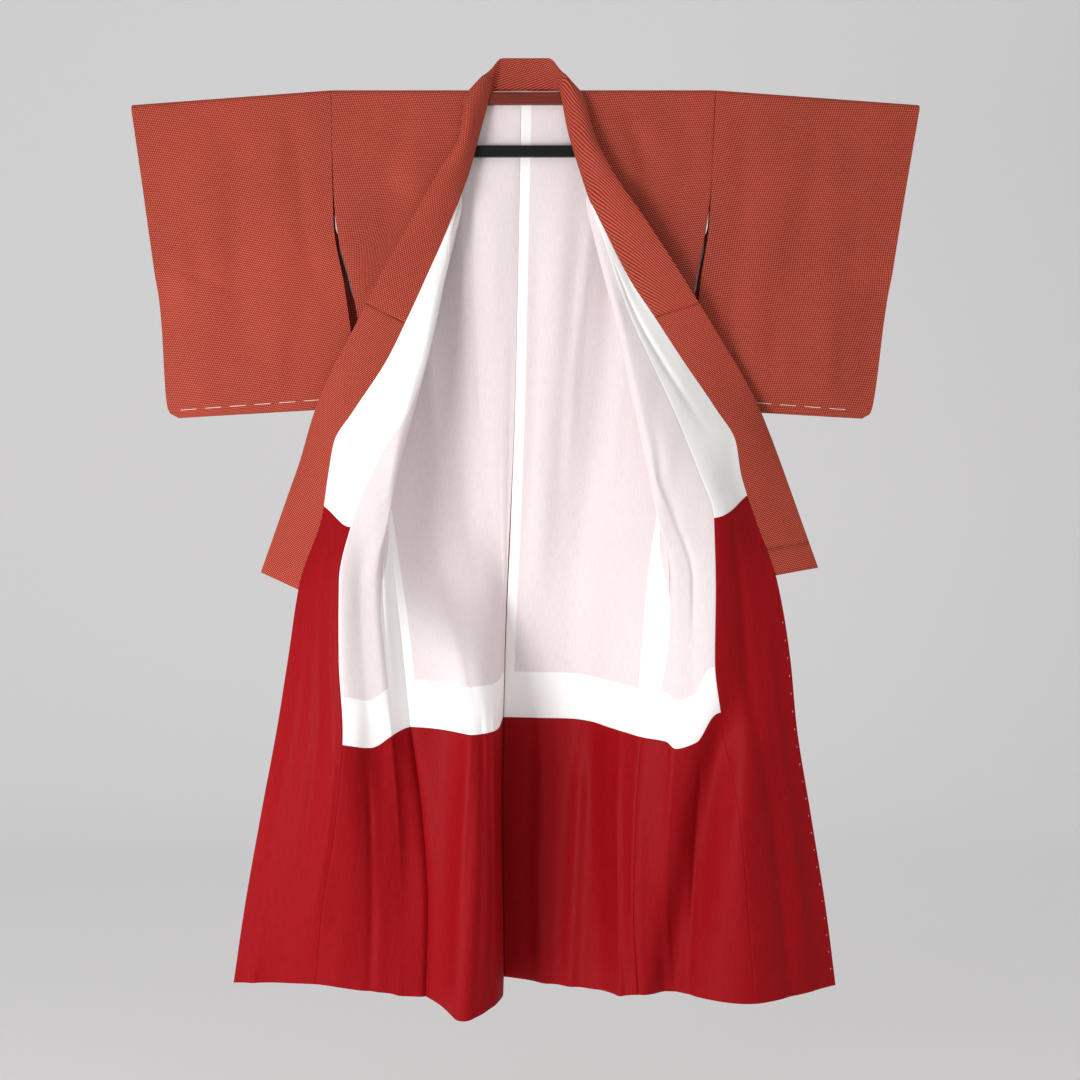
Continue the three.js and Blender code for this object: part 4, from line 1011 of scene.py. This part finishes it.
bottom_curve = 1 - (1 - BOTTOM_CURVE_SHARE) * (1 - np.sin(np.linspace(0, math.pi / 2, 9)))
wall_shares = np.unique(np.concatenate([np.linspace(0.008, BOTTOM_CURVE_SHARE, 96),
                                        bottom_curve]))
turns = np.linspace(0, 0.98, 9)
steps = spaced(0, 1, 62)
for side, body in sides.items():
    points = sleeve_rings(side, steps, wall_shares, turns)
    panel = {"points": points, "sign": body.sign, "normals": ring_normals(points, body.sign),
             "near": SLEEVE_WALL[0], "far": SLEEVE_WALL[1], "closed": True,
             "flip": body.sign > 0,
             "turned_in_shade_columns": int(np.searchsorted(steps, TURNED_IN_SHADE_SHARE))}
    cloth_piece(f"sleeve_silk_{side}", [panel], [patterned_silk, pale_silk],
                [f"sleeve_{side}"])


# Basting: white cotton thread in long running stitches just above the sleeve bottoms and in
# short ones beside the free edge of the right overlap. It keeps new edges flat until the
# garment is worn. Each stitch's sizes are its length, the gap to the next and its thread.
SLEEVE_STITCH = (26.0, 14.0, 0.8)
EDGE_STITCH = (2.2, 26.0, 0.5)
STITCH_STEPS = 5
BASTED_SLEEVE_SHARE = 0.962
EDGE_THREAD_HEIGHT = 1.22


def stitch_row(path, normals, stitch, gap, thread):
    """Places and faces of the stitches along a line: each is a prism of four sides that rises
    from the cloth and sinks back as half a sine wave over its length."""
    run = run_along(path, 0)
    starts = np.arange(gap, run[-1] - stitch, stitch + gap)
    part = np.linspace(0, 1, STITCH_STEPS)
    along = starts[:, None] + stitch * part

    def at(values):
        return np.stack([np.interp(along, run, values[:, axis]) for axis in range(3)], axis=-1)
    centre, up = at(path), at(normals)
    beside = unit(np.cross(np.gradient(centre, axis=1), up)) * thread / 2
    rise = thread * (0.1 + 0.55 * np.sin(math.pi * part))[:, None]
    rings = np.stack([centre + beside - 0.15 * up, centre + 0.7 * beside + rise * up,
                      centre - 0.7 * beside + rise * up, centre - beside - 0.15 * up], axis=2)
    index = np.arange(rings.size // 3).reshape(rings.shape[:3])
    here, there = index[:, :-1], index[:, 1:]
    walls = np.stack([there, np.roll(there, -1, axis=2), np.roll(here, -1, axis=2), here],
                     axis=-1).reshape(-1, 4)
    return rings.reshape(-1, 3) / 1000, np.concatenate([walls, index[:, 0], index[:, -1, ::-1]])


cotton_thread, tree, surface, place = new_material(
    "white_cotton_thread", Base_Color=linear("#f4f1ea"), Roughness=0.8)
for side, body in sides.items():
    points = sleeve_rings(side, np.linspace(0.02, 0.965, 240), wall_shares, turns)
    normals = ring_normals(points, body.sign)
    row = len(wall_shares) + 2 * len(turns) - 1 + int(
        np.searchsorted(wall_shares, BASTED_SLEEVE_SHARE))
    rows = [(points[row] + SLEEVE_WALL[1] * normals[row], normals[row], SLEEVE_STITCH)]
    if side == "right":
        edge_shares = np.linspace(1.5, 2.985, 400)[:, None] * np.ones(3)
        edge_knots = np.tile([4.95, 4.965, 4.98], (len(edge_shares), 1))
        edge_points = body.front_point(edge_shares, edge_knots)
        inward = -surface_normals(edge_points, body.sign)[:, 1]
        rows.append((edge_points[:, 1] + EDGE_THREAD_HEIGHT * inward, inward, EDGE_STITCH))
    vertices, faces, start = [], [], 0
    for path, outward, sizes in rows:
        v, f = stitch_row(path, outward, *sizes)
        vertices.append(v)
        faces.append(f + start)
        start += len(v)
    name = f"basting_{side}"
    thread = new_object(name, new_mesh(name, np.concatenate(vertices), np.concatenate(faces)))
    thread.data.materials.append(cotton_thread)
    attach(thread, "root")


# Floor, light and camera. A pale paper sweep, one broad soft light from the left in front, a
# lower one that lifts the left sleeve as in the photo, and a weak one from the upper right.
PAPER_RADIUS = 1.4
PAPER_FLOOR = -1.9
PAPER_BEND_START = 3.6
PAPER_HALF_WIDTH = 7.0


def paper_sweep(turn):
    """Distance behind and height of a paper roll: a level floor, a quarter circle for turns
    from 0 to 90 degrees, and a wall that rises from its end."""
    bend = np.radians(np.clip(turn, 0, 90))
    behind = PAPER_BEND_START + PAPER_RADIUS * np.sin(bend) + np.minimum(turn, 0) * 0.1
    height = PAPER_FLOOR + PAPER_RADIUS * (1 - np.cos(bend)) + np.maximum(turn - 90, 0) * 0.05
    return behind, height


behind, height = paper_sweep(np.linspace(-90, 180, 91))
edge = np.full_like(behind, PAPER_HALF_WIDTH)
paper_points = np.stack([np.stack([x, behind, height], axis=-1) for x in (-edge, edge)],
                        axis=1).reshape(-1, 3)
first = 2 * np.arange(len(behind) - 1)
paper_faces = np.stack([first, first + 1, first + 3, first + 2], axis=-1)
paper_mesh = new_mesh("floor", paper_points, paper_faces)
paper_mesh.polygons.foreach_set("use_smooth", np.ones(len(paper_faces), dtype=bool))
floor = new_object("floor", paper_mesh)
paper, tree, surface, place = new_material("pale_studio_paper", Base_Color=linear("#f6f5f5"),
                                           Roughness=0.9)
paper_mesh.materials.append(paper)

world = bpy.data.worlds.new("studio")
world.use_nodes = True
sky = world.node_tree.nodes["Background"].inputs
sky["Color"].default_value = linear("#ffffff")
sky["Strength"].default_value = 0.6
bpy.context.scene.world = world


def soft_light(name, place, target, size, power):
    """A square area light of that size that faces its target."""
    lamp = bpy.data.lights.new(name, "AREA")
    lamp.size = size
    lamp.energy = power
    holder = new_object(name, lamp)
    aim = np.array(target) - np.array(place)
    flat = math.hypot(aim[0], aim[1])
    holder.rotation_euler = (math.pi / 2 + math.atan2(aim[2], flat), 0,
                             math.atan2(aim[1], aim[0]) - math.pi / 2)
    holder.location = place


soft_light("key_light", (-1.6, -2.3, -0.9), (0.0, 0.0, -0.7), 0.9, 40)
soft_light("low_light", (-1.9, -1.9, -1.3), (-0.5, 0.0, -0.4), 1.0, 17)
soft_light("fill_light", (1.6, -2.9, 0.9), (0.0, 0.0, -0.7), 2.0, 5)

camera_data = bpy.data.cameras.new("camera")
camera_data.sensor_width = 36
camera_data.lens = 61.7
camera_data.shift_y = -0.0387
camera = new_object("camera", camera_data)
camera.location = (0.0235, -3.0, -0.65)
camera.rotation_euler = (math.pi / 2, 0, 0)
bpy.context.scene.camera = camera
bpy.context.scene.view_settings.view_transform = "Standard"
